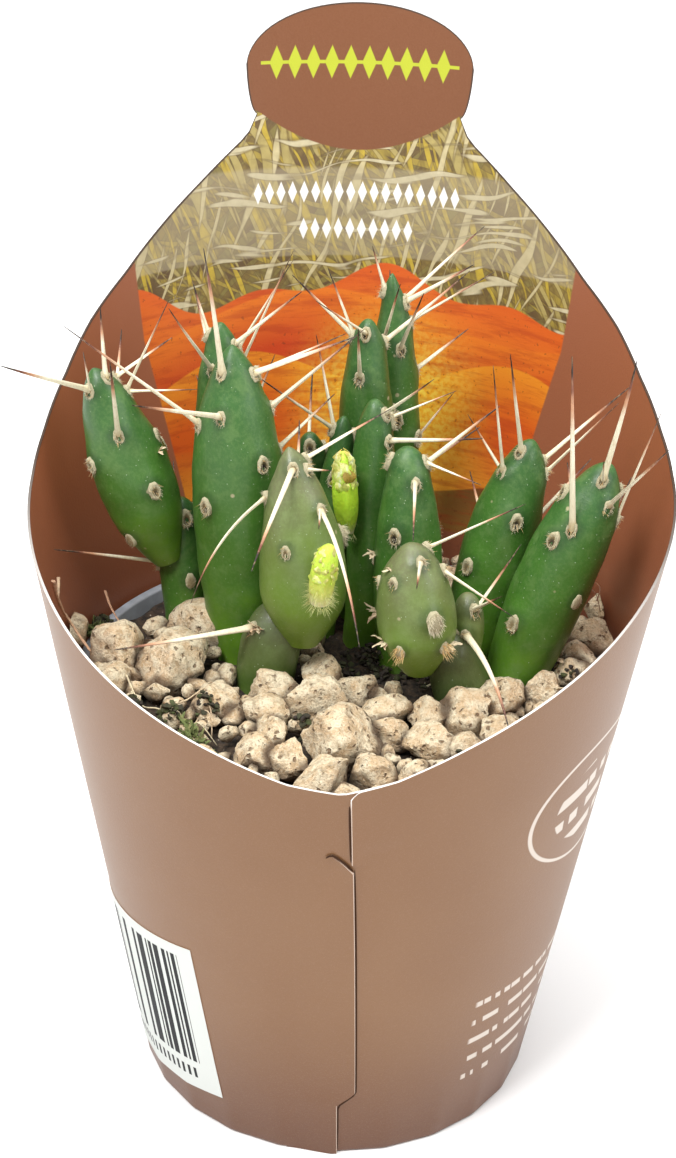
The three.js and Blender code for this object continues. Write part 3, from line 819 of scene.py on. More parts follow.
@dataclass(frozen=True)
class CardInside:
    """The sleeve's inner face: brown, with a printed panel on the shield and ornaments on its head."""

    brown: Colour = (0.285, 0.095, 0.044)
    light_brown: Colour = (0.30, 0.112, 0.058)
    head_brown: Colour = (0.168, 0.056, 0.017)
    head_light: Colour = (0.27, 0.115, 0.055)
    lime: Colour = (0.43, 0.47, 0.025)
    white: Colour = (0.86, 0.84, 0.80)
    veil: Colour = (0.42, 0.36, 0.24)
    outline: Colour = (0.045, 0.024, 0.014)
    thatch: tuple[Colour, Colour] = ((0.105, 0.060, 0.026), (0.24, 0.17, 0.04))
    under_blades: Colour = (0.10, 0.06, 0.022)
    blade_shade: Colour = (0.16, 0.11, 0.03)
    sky: Colour = (0.60, 0.085, 0.010)
    dune_depth: float = 7.0
    sun_middle: tuple[float, float] = (5.0, 73.0)
    sun_radius: float = 9.0
    sun_glow: float = 7.5
    sun_colours: tuple[Colour, Colour] = ((0.78, 0.42, 0.02), (0.82, 0.66, 0.08))
    wind: Colour = (0.36, 0.03, 0.008)
    speck: Colour = (0.12, 0.03, 0.01)
    ridge: float = 88.5
    panel_foot: float = 57.3
    panel_half: float = 0.628
    panel_spread: float = 0.00454
    panel_most: float = 0.7505
    veil_span: tuple[float, float] = (92.2, 103.2)
    head_foot: float = 110.4
    head_bow: float = 5.0
    head_half: float = 0.302
    garland: float = 116.1
    garland_lozenges: tuple[float, float, float] = (2.35, 2.0, 11.8)
    garland_line: tuple[float, float] = (0.2, 12.6)
    small_lozenges: tuple[float, float] = (1.5, 1.35)
    small_rows: tuple[tuple[float, float], ...] = ((100.2, 13.5), (95.6, 7.5))

    def straw(self, recipe: Recipe, arc: Wire, height: Wire) -> Wire:
        """Dry grass blades that cross each other.

        Args:
            recipe: the material that asks.
            arc: the place round the card, in millimetres.
            height: the place up the card.

        Returns:
            The grass colour.
        """
        flat = recipe.vector(arc, height)
        bend = recipe.noise(flat, 0.07, 1.0) * 7.0
        clumps = recipe.noise(flat, 0.2, 4.0)
        colour = recipe.mix(clumps.above(0.5, 0.16), *self.thatch)
        for layer in BLADES:
            level, steep = math.cos(layer.slant), math.sin(layer.slant)
            along = arc * level + height * steep
            across = height * level - arc * steep + bend
            blades = recipe.noise(recipe.vector(along * 0.09, across * 0.95, layer.seed), 1.0, 1.0)
            colour = recipe.mix(blades.above(layer.edge - 0.05, 0.05) * 0.55, colour, self.under_blades)
            shade = recipe.mix(recipe.noise(flat, 0.9, 2.0) * 0.6, layer.tone, self.blade_shade)
            colour = recipe.mix(blades.above(layer.edge, 0.03) * 0.9, colour, shade)
        return colour

    def dunes(self, recipe: Recipe, arc: Wire, height: Wire) -> Wire:
        """Warm dune bands under a low sun.

        Args:
            recipe: the material that asks.
            arc: the place round the card, in millimetres.
            height: the place up the card.

        Returns:
            The colour of the dunes.
        """
        colour: Wire | Colour = self.sky
        for dune in DUNES:
            crest = (arc * dune.rate + dune.phase).sine() * dune.swing + dune.level
            depth = (crest - height) / self.dune_depth
            shade = recipe.mix(depth.math("MINIMUM", 1.0).math("MAXIMUM", 0.0), dune.near, dune.far)
            colour = recipe.mix(depth.above(0.0, 0.02), colour, shade)
        sun_arc, sun_height = self.sun_middle
        off = ((arc - sun_arc) ** 2.0 + (height - sun_height) ** 2.0) ** 0.5
        glow = off.below(self.sun_radius, self.sun_glow)
        grain = recipe.noise(recipe.vector(arc, height), 1.6, 3.0)
        sun = recipe.mix(grain.above(0.5, 0.1), *self.sun_colours)
        colour = recipe.mix(glow * 0.9, colour, sun)
        wind = recipe.noise(recipe.vector(arc * 0.12, height * 0.9), 1.0, 4.0, 0.65)
        colour = recipe.mix(wind.below(0.45, 0.1) * 0.45, colour, self.wind)
        return recipe.mix(grain.below(0.33, 0.03) * 0.5, colour, self.speck)

    def panel(self, recipe: Recipe, arc: Wire, height: Wire) -> Wire:
        """The printed panel's colour.

        Args:
            recipe: the material that asks.
            arc: the place round the card, in millimetres.
            height: the place up the card.

        Returns:
            Grass above the dunes, with the pale veil over it.
        """
        grass = self.straw(recipe, arc, height)
        ridge = (arc * 0.16 + 1.0).sine() * 1.8 + (arc * 0.37).sine() * 1.1 + self.ridge
        colour = recipe.mix((ridge - height).above(0.0, 0.12), grass, self.dunes(recipe, arc, height))
        low, high = self.veil_span
        veil = height.above(low, 0.15) * height.below(high, 0.3)
        return recipe.mix(veil * 0.38, colour, self.veil)

    def material(self) -> bpy.types.Material:
        """Builds the node tree.

        Returns:
            The finished material.
        """
        recipe = Recipe("sleeve_inner_print")
        spot = recipe.place()
        angle, arc, height = on_card(recipe, spot, 1.0)
        grain = recipe.noise(spot, 4.0, 2.0)
        base = recipe.mix(grain * 0.4, self.brown, self.light_brown)
        half = (height - self.panel_foot) * self.panel_spread + self.panel_half
        sides = half.math("MINIMUM", self.panel_most) - abs(angle)
        inside = sides.above(0.0, 0.004) * height.above(self.panel_foot, 0.1)
        bow = 1.0 - ((angle / self.head_half) ** 2.0).math("MINIMUM", 1.0)
        head = (height - self.head_foot + bow * self.head_bow).above(0.0, 0.1)
        colour = recipe.mix(inside, base, self.panel(recipe, arc, height))
        colour = recipe.mix(head, colour, recipe.mix(grain * 0.3, self.head_brown, self.head_light))
        leaf = lozenges(arc, height, self.garland, *self.garland_lozenges)
        thick, reach = self.garland_line
        vein = abs(height - self.garland).below(thick, 0.05) * abs(arc).below(reach, 0.05)
        colour = recipe.mix(leaf.math("MAXIMUM", vein), colour, self.lime)
        first, second = (lozenges(arc, height, middle, *self.small_lozenges, half_row)
                         for middle, half_row in self.small_rows)
        colour = recipe.mix(first.math("MAXIMUM", second) * 0.92, colour, self.white)
        outline = recipe.mark("rim").above(0.45, 0.35) * height.above(*SLEEVE.dark_edge_from)
        colour = recipe.mix(outline * 0.9, colour, self.outline)
        return recipe.finish(
            Base_Color=colour, Roughness=0.36 + grain * 0.12, Specular_IOR_Level=0.5,
            Coat_Weight=0.08, Coat_Roughness=0.3, Normal=recipe.bump(grain, 0.02))


@dataclass(frozen=True)
class CardEdge:
    """The card's cut edge: its white core at the front, dark above a height round the shield."""

    core: Colour = (0.76, 0.74, 0.70)
    fibres: Colour = (0.60, 0.52, 0.46)
    rubbed: Colour = (0.56, 0.40, 0.30)
    dark_edge_tone: Colour = (0.045, 0.024, 0.014)
    rubbed_below: float = 56.4

    def material(self) -> bpy.types.Material:
        """Builds the node tree.

        Returns:
            The finished material.
        """
        recipe = Recipe("sleeve_cut_edge")
        spot = recipe.place()
        fibre = recipe.noise(spot, 6.0, 3.0)
        _, _, height = recipe.parts(spot)
        colour = recipe.mix(fibre * 0.4, self.core, self.fibres)
        colour = recipe.mix(height.below(self.rubbed_below, 0.5) * 0.8, colour, self.rubbed)
        colour = recipe.mix(height.above(*SLEEVE.dark_edge_from), colour, self.dark_edge_tone)
        return recipe.finish(Base_Color=colour, Roughness=0.85, Normal=recipe.bump(fibre, 0.05))


@dataclass(frozen=True)
class SeamShade:
    """Painted shade: the dark line where one lap of the card meets the other."""

    dark: Colour = (0.035, 0.016, 0.009)
    fibres: Colour = (0.075, 0.035, 0.018)

    def material(self) -> bpy.types.Material:
        """Builds the node tree.

        Returns:
            The finished material.
        """
        recipe = Recipe("sleeve_seam_shade")
        fibre = recipe.noise(recipe.place(), 5.0, 3.0)
        colour = recipe.mix(fibre * 0.5, self.dark, self.fibres)
        return recipe.finish(Base_Color=colour, Roughness=0.9, Specular_IOR_Level=0.1)


@dataclass(frozen=True)
class LabelPaper:
    """A white paper label with black bars, drawn from a seeded run of widths."""

    paper: Colour = (0.60, 0.62, 0.59)
    ink: Colour = (0.008, 0.008, 0.010)
    modules: float = 96.0
    ticks: float = 30.0

    def material(self) -> bpy.types.Material:
        """Builds the node tree.

        Returns:
            The finished material.
        """
        recipe = Recipe("label_paper_bars")
        across, up = recipe.mark("across"), recipe.mark("up")
        column = (across * self.modules).floor()
        black = recipe.random(column + 0.5).above(0.5, 0.001)
        bars = black * across.above(0.08, 0.001) * across.below(0.92, 0.001)
        bars = bars * up.above(0.2, 0.002) * up.below(0.93, 0.002)
        tick = (across * self.ticks).fraction()
        ticks = tick.above(0.22, 0.02) * tick.below(0.68, 0.02) * up.above(0.08, 0.002)
        ticks = ticks * up.below(0.15, 0.002) * across.above(0.1, 0.001) * across.below(0.9, 0.001)
        grain = recipe.noise(recipe.place(), 5.0, 2.0)
        colour = recipe.mix(bars.math("MAXIMUM", ticks), self.paper, self.ink)
        return recipe.finish(
            Base_Color=colour, Roughness=0.5 + grain * 0.15, Normal=recipe.bump(grain, 0.01),
            Specular_IOR_Level=0.2)


@dataclass(frozen=True)
class PotPlastic:
    """The nursery pot's thin blue-grey plastic."""

    light: Colour = (0.36, 0.40, 0.45)
    dusty: Colour = (0.25, 0.28, 0.31)

    def material(self) -> bpy.types.Material:
        """Builds the node tree.

        Returns:
            The finished material.
        """
        recipe = Recipe("pot_blue_grey_plastic")
        spot = recipe.place()
        cloud, fine = recipe.noise(spot, 0.25, 4.0), recipe.noise(spot, 4.0, 3.0)
        colour = recipe.mix(cloud.above(0.52, 0.18), self.light, self.dusty)
        _, _, height = recipe.parts(spot)
        ribs = (height * 2.2).sine() * 0.5 + fine * 0.3
        return recipe.finish(
            Base_Color=colour, Roughness=0.3 + fine * 0.2, Normal=recipe.bump(ribs, 0.02),
            Specular_IOR_Level=0.6)


@dataclass(frozen=True)
class DarkSoil:
    """Potting mix: dark crumbs with a few pale flecks."""

    dark: Colour = (0.014, 0.010, 0.007)
    brown: Colour = (0.060, 0.038, 0.022)
    fleck: Colour = (0.45, 0.40, 0.33)

    def material(self) -> bpy.types.Material:
        """Builds the node tree.

        Returns:
            The finished material.
        """
        recipe = Recipe("potting_soil")
        spot = recipe.place()
        crumbs, grit = recipe.noise(spot, 1.1, 5.0, 0.65), recipe.cells(spot, 1.3)
        colour = recipe.mix(crumbs.above(0.5, 0.15), self.dark, self.brown)
        colour = recipe.mix(grit.below(0.12, 0.04) * crumbs.above(0.52, 0.05), colour, self.fleck)
        relief = recipe.bump(crumbs * 0.7 + grit * 0.5, 0.5)
        return recipe.finish(Base_Color=colour, Roughness=0.94, Normal=relief)


@dataclass(frozen=True)
class PumiceStone:
    """Pale tan pumice with dark pits of painted shade, a dusting of cream, and painted shade on its lower
    parts and where stones touch.
    """

    buff: Colour = (0.86, 0.73, 0.48)
    cream: Colour = (0.95, 0.88, 0.66)
    rose: Colour = (0.72, 0.52, 0.31)
    # pit is the colour of the painted shade in the pits.
    pit: Colour = (0.20, 0.115, 0.055)
    stain: Colour = (0.36, 0.24, 0.12)
    grit: Colour = (0.34, 0.22, 0.11)
    dust: Colour = (0.86, 0.80, 0.62)
    # underside is the colour of the painted shade on lower parts and where stones touch.
    underside: Colour = (0.085, 0.045, 0.022)

    def material(self) -> bpy.types.Material:
        """Builds the node tree.

        Returns:
            The finished material.
        """
        recipe = Recipe("pumice_pitted")
        spot, tone = recipe.place(), recipe.mark("tone")
        base = recipe.ramp(tone, [(0.0, self.rose), (0.35, self.buff), (0.75, self.cream)])
        cloud = recipe.noise(spot, 0.55, 4.0, 0.6)
        base = recipe.mix(cloud.above(0.5, 0.12) * 0.6, base, self.cream)
        stain = recipe.noise(spot, 0.9, 3.0, 0.6).below(0.44, 0.06)
        base = recipe.mix(stain * 0.45, base, self.stain)
        grain = recipe.noise(spot, 3.4, 4.0, 0.7)
        base = recipe.mix(grain.below(0.43, 0.05) * 0.35, base, self.grit)
        base = recipe.mix(grain.above(0.57, 0.05) * 0.4, base, self.dust)
        # Painted shade on each stone's lower part and where it nears another stone.
        base = recipe.mix(recipe.mark("low") * 0.88, base, self.underside)
        drift = recipe.node("ShaderNodeTexNoise", {}, {"Vector": spot, "Scale": 1.5}, "Color")
        warped = recipe.node("ShaderNodeVectorMath", {"operation": "ADD"}, {0: spot, 1: drift})
        # Painted shade in the pits, both the shader's scattered pits and the mesh's own.
        pits = recipe.cells(warped, 0.95).below(0.23, 0.07) * recipe.noise(spot, 0.6, 1.0).above(0.44, 0.1)
        pits = pits.math("MAXIMUM", recipe.cells(spot, 2.1).below(0.14, 0.05) * 0.4)
        hollow = pits.math("MAXIMUM", recipe.mark("hollow"))
        colour = recipe.mix(hollow * 0.85, base, self.pit)
        height = cloud * 0.5 + grain * 0.8 - pits * 0.9
        return recipe.finish(Base_Color=colour, Roughness=0.92, Normal=recipe.bump(height, 0.6))


@dataclass(frozen=True)
class StemSkin:
    """A joint's waxy skin, from its foot over its middle to its crown, with painted shade round its areoles
    and on the front stems' lowest joint.
    """

    name: str
    foot: Colour
    middle: Colour
    crown: Colour
    bloom: Colour
    # The colour of the painted shade round the areoles and on the front stems' lowest joint.
    dent: Colour = (0.012, 0.035, 0.012)
    dot: Colour = (0.50, 0.60, 0.42)
    scar: Colour = (0.50, 0.42, 0.26)

    def material(self) -> bpy.types.Material:
        """Builds the node tree.

        Returns:
            The finished material.
        """
        recipe = Recipe(self.name)
        spot = recipe.place()
        cloud = recipe.noise(spot, 0.22, 3.0)
        fine = recipe.noise(spot, 2.6, 4.0, 0.6)
        share = recipe.mark("share") + (cloud - 0.5) * 0.45
        base = recipe.ramp(share, [(0.02, self.foot), (0.45, self.middle), (0.92, self.crown)])
        base = recipe.mix(fine.above(0.55, 0.12) * 0.22, base, self.bloom)
        wax = recipe.noise(spot, 0.5, 5.0, 0.6).above(0.58, 0.09)
        base = recipe.mix(wax * 0.3, base, self.bloom)
        # Painted shade: darker round each areole, as in a dent, and on the front stems' lowest joint.
        dent = recipe.mark("dent")
        base = recipe.mix(dent.above(0.3, 0.25) * 0.42, base, self.dent)
        dots = recipe.cells(spot, 1.25).below(0.075, 0.03)
        base = recipe.mix(dots * 0.55, base, self.dot)
        scars = recipe.cells(spot, 0.22).below(0.055, 0.02)
        base = recipe.mix(scars * 0.7, base, self.scar)
        relief = recipe.bump(fine * 0.5 + recipe.noise(spot, 9.0, 2.0) * 0.3 + dots * 0.3, 0.06)
        return recipe.finish(
            Base_Color=base, Roughness=0.30 + cloud * 0.12 + wax * 0.14, Normal=relief,
            Specular_IOR_Level=0.42, Coat_Weight=0.08, Coat_Roughness=0.3)


SKINS = {
    Slot.STEM: StemSkin(
        "stem_waxy_green", foot=(0.175, 0.34, 0.020), middle=(0.060, 0.168, 0.018),
        crown=(0.036, 0.110, 0.024), bloom=(0.140, 0.235, 0.070)),
    Slot.YOUNG_STEM: StemSkin(
        "young_stem_grey_green", foot=(0.175, 0.30, 0.020), middle=(0.140, 0.232, 0.038),
        crown=(0.140, 0.150, 0.068), bloom=(0.22, 0.30, 0.105)),
}


@dataclass(frozen=True)
class AreoleFelt:
    """An areole's cream felt, turning tan and then near black by the hollow mark: painted shade deep in a
    hollow cushion, the pad's own brown on a domed one.
    """

    rim: Colour = (0.47, 0.42, 0.27)
    tan: Colour = (0.25, 0.19, 0.09)
    hollow: Colour = (0.018, 0.013, 0.007)

    def material(self) -> bpy.types.Material:
        """Builds the node tree.

        Returns:
            The finished material.
        """
        recipe = Recipe("areole_felt")
        wool = recipe.noise(recipe.place(), 5.5, 4.0, 0.7)
        depth = recipe.mark("hollow") + (wool - 0.5) * 0.35
        # Painted shade: the deeper in the hollow, the darker; on a domed pad the mark is its own brown.
        stops = [(0.0, self.rim), (0.2, self.rim), (0.45, self.tan), (0.85, self.hollow)]
        colour = recipe.ramp(depth, stops)
        return recipe.finish(Base_Color=colour, Roughness=0.9, Normal=recipe.bump(wool, 0.18))


@dataclass(frozen=True)
class Bristle:
    """Fine hairs of one colour that pale towards their tips."""

    name: str
    root: Colour
    tip: Colour

    def material(self) -> bpy.types.Material:
        """Builds the node tree.

        Returns:
            The finished material.
        """
        recipe = Recipe(self.name)
        spread = recipe.noise(recipe.place(), 1.4, 2.0)
        base = recipe.mix(recipe.mark("reach"), self.root, self.tip)
        colour = recipe.mix(spread.above(0.5, 0.2) * 0.35, base, self.root)
        return recipe.finish(Base_Color=colour, Roughness=0.55 + spread * 0.2)


WOOL = Bristle("areole_wool", root=(0.44, 0.37, 0.22), tip=(0.74, 0.68, 0.50))
GLOCHIDS = Bristle("glochids_ochre", root=(0.42, 0.23, 0.07), tip=(0.78, 0.58, 0.28))
SHOOT_HAIRS = Bristle("shoot_hairs_golden", root=(0.46, 0.48, 0.16), tip=(0.66, 0.64, 0.32))


@dataclass(frozen=True)
class SpineHorn:
    """A spine's horn: cream, then pinkish tan, then a dark tip, with a brown line of painted shade along one
    edge.
    """

    stops: tuple[tuple[float, Colour], ...] = (
        (0.0, (0.50, 0.40, 0.21)), (0.07, (0.74, 0.68, 0.48)), (0.50, (0.82, 0.76, 0.58)),
        (0.66, (0.54, 0.28, 0.16)), (0.78, (0.17, 0.055, 0.032)), (0.86, (0.016, 0.009, 0.007)),
    )
    streak: Colour = (0.52, 0.36, 0.20)
    line: Colour = (0.16, 0.085, 0.045)

    def material(self) -> bpy.types.Material:
        """Builds the node tree.

        Returns:
            The finished material.
        """
        recipe = Recipe("spine_horn")
        reach = recipe.mark("reach") + (recipe.noise(recipe.place(), 0.8, 2.0) - 0.5) * 0.12
        base = recipe.ramp(reach, self.stops)
        streak = recipe.noise(recipe.stretched(recipe.place(), (3.0, 3.0, 0.6)), 1.0, 3.0)
        base = recipe.mix(streak.above(0.58, 0.1) * 0.3, base, self.streak)
        # Painted shade: a brown line along the spine's one flank.
        line = recipe.mark("flank").above(0.86, 0.1) * 0.4
        colour = recipe.mix(line, base, self.line)
        return recipe.finish(
            Base_Color=colour, Roughness=0.38 + streak * 0.2, Normal=recipe.bump(streak, 0.05),
            Specular_IOR_Level=0.45)


@dataclass(frozen=True)
class ShootSkin:
    """A young shoot: lime below, crumpled and pale yellow above, with a dry ochre scale, painted shade in the
    crumples' creases and painted highlights on their ridges.
    """

    name: str
    dryness: float
    foot: Colour
    middle: Colour
    collar: Colour = (0.72, 0.68, 0.40)
    top_stops: tuple[tuple[float, Colour], ...] = (
        (0.56, (0.56, 0.78, 0.06)), (0.68, (0.62, 0.64, 0.14)), (0.8, (0.72, 0.68, 0.24)),
        (1.0, (0.62, 0.46, 0.09)),
    )
    crease: Colour = (0.34, 0.32, 0.05)
    ridge: Colour = (0.84, 0.82, 0.58)
    dry: Colour = (0.30, 0.18, 0.02)
    tuft_from: float = 0.62

    def material(self) -> bpy.types.Material:
        """Builds the node tree.

        Returns:
            The finished material.
        """
        recipe = Recipe(self.name)
        spot = recipe.place()
        share, crinkle = recipe.mark("share"), recipe.noise(spot, 1.6, 4.0, 0.65)
        stops = [(0.0, self.collar), (0.12, self.foot), (0.3, self.middle), *self.top_stops]
        base = recipe.ramp(share + (crinkle - 0.5) * 0.12, stops)
        fold = recipe.noise(recipe.stretched(spot, (1.6, 1.6, 0.45)), 1.0, 3.0)
        # Painted shade in the folds' creases and painted highlights on their ridges.
        for folds, tone in ((fold.below(0.45, 0.05), self.crease), (fold.above(0.6, 0.04), self.ridge)):
            base = recipe.mix(share.above(self.tuft_from, 0.05) * folds * 0.6, base, tone)
        colour = recipe.mix(recipe.mark("scar") * self.dryness, base, self.dry)
        return recipe.finish(
            Base_Color=colour, Roughness=0.46, Normal=recipe.bump(crinkle + fold, 0.16),
            Specular_IOR_Level=0.4, Subsurface_Weight=0.15, Subsurface_Scale=0.002)


UPPER_SHOOT = ShootSkin("upper_shoot_lime", 0.9, foot=(0.50, 0.74, 0.06), middle=(0.50, 0.78, 0.04))
LOWER_SHOOT = ShootSkin("lower_shoot_lime", 0.3, foot=(0.60, 0.64, 0.16), middle=(0.56, 0.66, 0.08))


@dataclass(frozen=True)
class DryScrap:
    """Crumbs, moss, straw and roots, from dark over green and brown to pale, by a painted tone."""

    stops: tuple[tuple[float, Colour], ...] = (
        (0.0, (0.018, 0.012, 0.008)), (0.22, (0.075, 0.10, 0.022)), (0.35, (0.16, 0.20, 0.06)),
        (0.5, (0.22, 0.11, 0.06)), (0.7, (0.52, 0.30, 0.18)), (1.0, (0.68, 0.60, 0.40)),
    )
    fibre: Colour = (0.05, 0.03, 0.018)

    def material(self) -> bpy.types.Material:
        """Builds the node tree.

        Returns:
            The finished material.
        """
        recipe = Recipe("dry_scraps")
        fibre = recipe.noise(recipe.place(), 3.0, 3.0)
        base = recipe.ramp(recipe.mark("tone"), self.stops)
        colour = recipe.mix(fibre.above(0.55, 0.1) * 0.35, base, self.fibre)
        return recipe.finish(Base_Color=colour, Roughness=0.8, Normal=recipe.bump(fibre, 0.08))


@dataclass(frozen=True)
class StudioPaper:
    """The pale floor under the part."""

    white: Colour = (0.90, 0.90, 0.90)
    shade: Colour = (0.88, 0.88, 0.87)

    def material(self) -> bpy.types.Material:
        """Builds the node tree.

        Returns:
            The finished material.
        """
        recipe = Recipe("studio_floor")
        cloud = recipe.noise(recipe.place(), 0.01, 2.0)
        colour = recipe.mix(cloud * 0.3, self.white, self.shade)
        return recipe.finish(Base_Color=colour, Roughness=0.7)


GRAVEL_FOOT = 50.0
GRAVEL_LEVEL = 54.6
STEM_FOOT = 46
POT_TOP = 53.3
POT_FOOT = 0.95


@dataclass(frozen=True)
class Joint:
    """One joint of a stem: it runs from foot over bend to tip and is widest at a share of its length.

    An areole is [share, degrees from the front, spines], and a spine is
    [length, heading, rise, root radius, bow].
    """

    foot: Triple
    bend: Triple
    tip: Triple
    radius: float
    widest: float
    root: float
    point: float
    areoles: list[list] = field(default_factory=list)

    def place(self, share: float | np.ndarray) -> np.ndarray:
        """Points on the joint's axis."""
        t = np.asarray(share, float)[..., None]
        foot, bend, tip = (np.array(end, float) for end in (self.foot, self.bend, self.tip))
        return foot * (1 - t) ** 2 + bend * 2 * t * (1 - t) + tip * t ** 2

    def length(self) -> float:
        """The axis's length."""
        walk = np.diff(self.place(np.linspace(0, 1, 201)), axis=0)
        return float(np.linalg.norm(walk, axis=1).sum())

    def girth(self, share: float | np.ndarray) -> np.ndarray:
        """The joint's radius, which swells in a quarter wave and closes towards the tip.

        Args:
            share: how far along the joint.

        Returns:
            The radius there.
        """
        t = np.asarray(share, float)
        swell = self.root + (self.radius - self.root) * np.sin(np.minimum(t / self.widest, 1) * math.pi / 2)
        past = np.clip((t - self.widest) / (1 - self.widest), 0, 1)
        return np.where(t < self.widest, swell, self.radius * (1 - past ** 2) ** self.point)

    def frame(self, share: float | np.ndarray) -> tuple[np.ndarray, np.ndarray, np.ndarray]:
        """The joint's own directions: along it, to the front and to the right.

        Args:
            share: how far along the joint.

        Returns:
            The three directions.
        """
        t = np.asarray(share, float)[..., None]
        foot, bend, tip = (np.array(end, float) for end in (self.foot, self.bend, self.tip))
        along = unit((bend - foot) * (1 - t) + (tip - bend) * t)
        front = unit(FRONT - along * (along @ FRONT)[..., None])
        return along, front, np.cross(along, front)

    def spokes(self, shares: np.ndarray, turns: np.ndarray) -> np.ndarray:
        """Directions straight out of the axis, a ring of them for each share.

        Args:
            shares: how far along the joint.
            turns: the angles round it, in radians.

        Returns:
            The directions, by share and turn.
        """
        _, front, right = self.frame(shares)
        ways = np.cos(turns)[None, :, None] * front[:, None, :]
        return ways + np.sin(turns)[None, :, None] * right[:, None, :]

    def surface(self, share: float, degrees: float,
                extra: float = 0.0) -> tuple[np.ndarray, np.ndarray, np.ndarray]:
        """A place on the skin.

        Args:
            share: how far along the joint.
            degrees: the angle from the front.
            extra: how far off the skin.

        Returns:
            The place, the direction out of the skin and the direction along the joint.
        """
        along, front, right = self.frame(share)
        out = front * math.cos(math.radians(degrees)) + right * math.sin(math.radians(degrees))
        return self.place(share) + out * (float(self.girth(share)) + extra), out, along


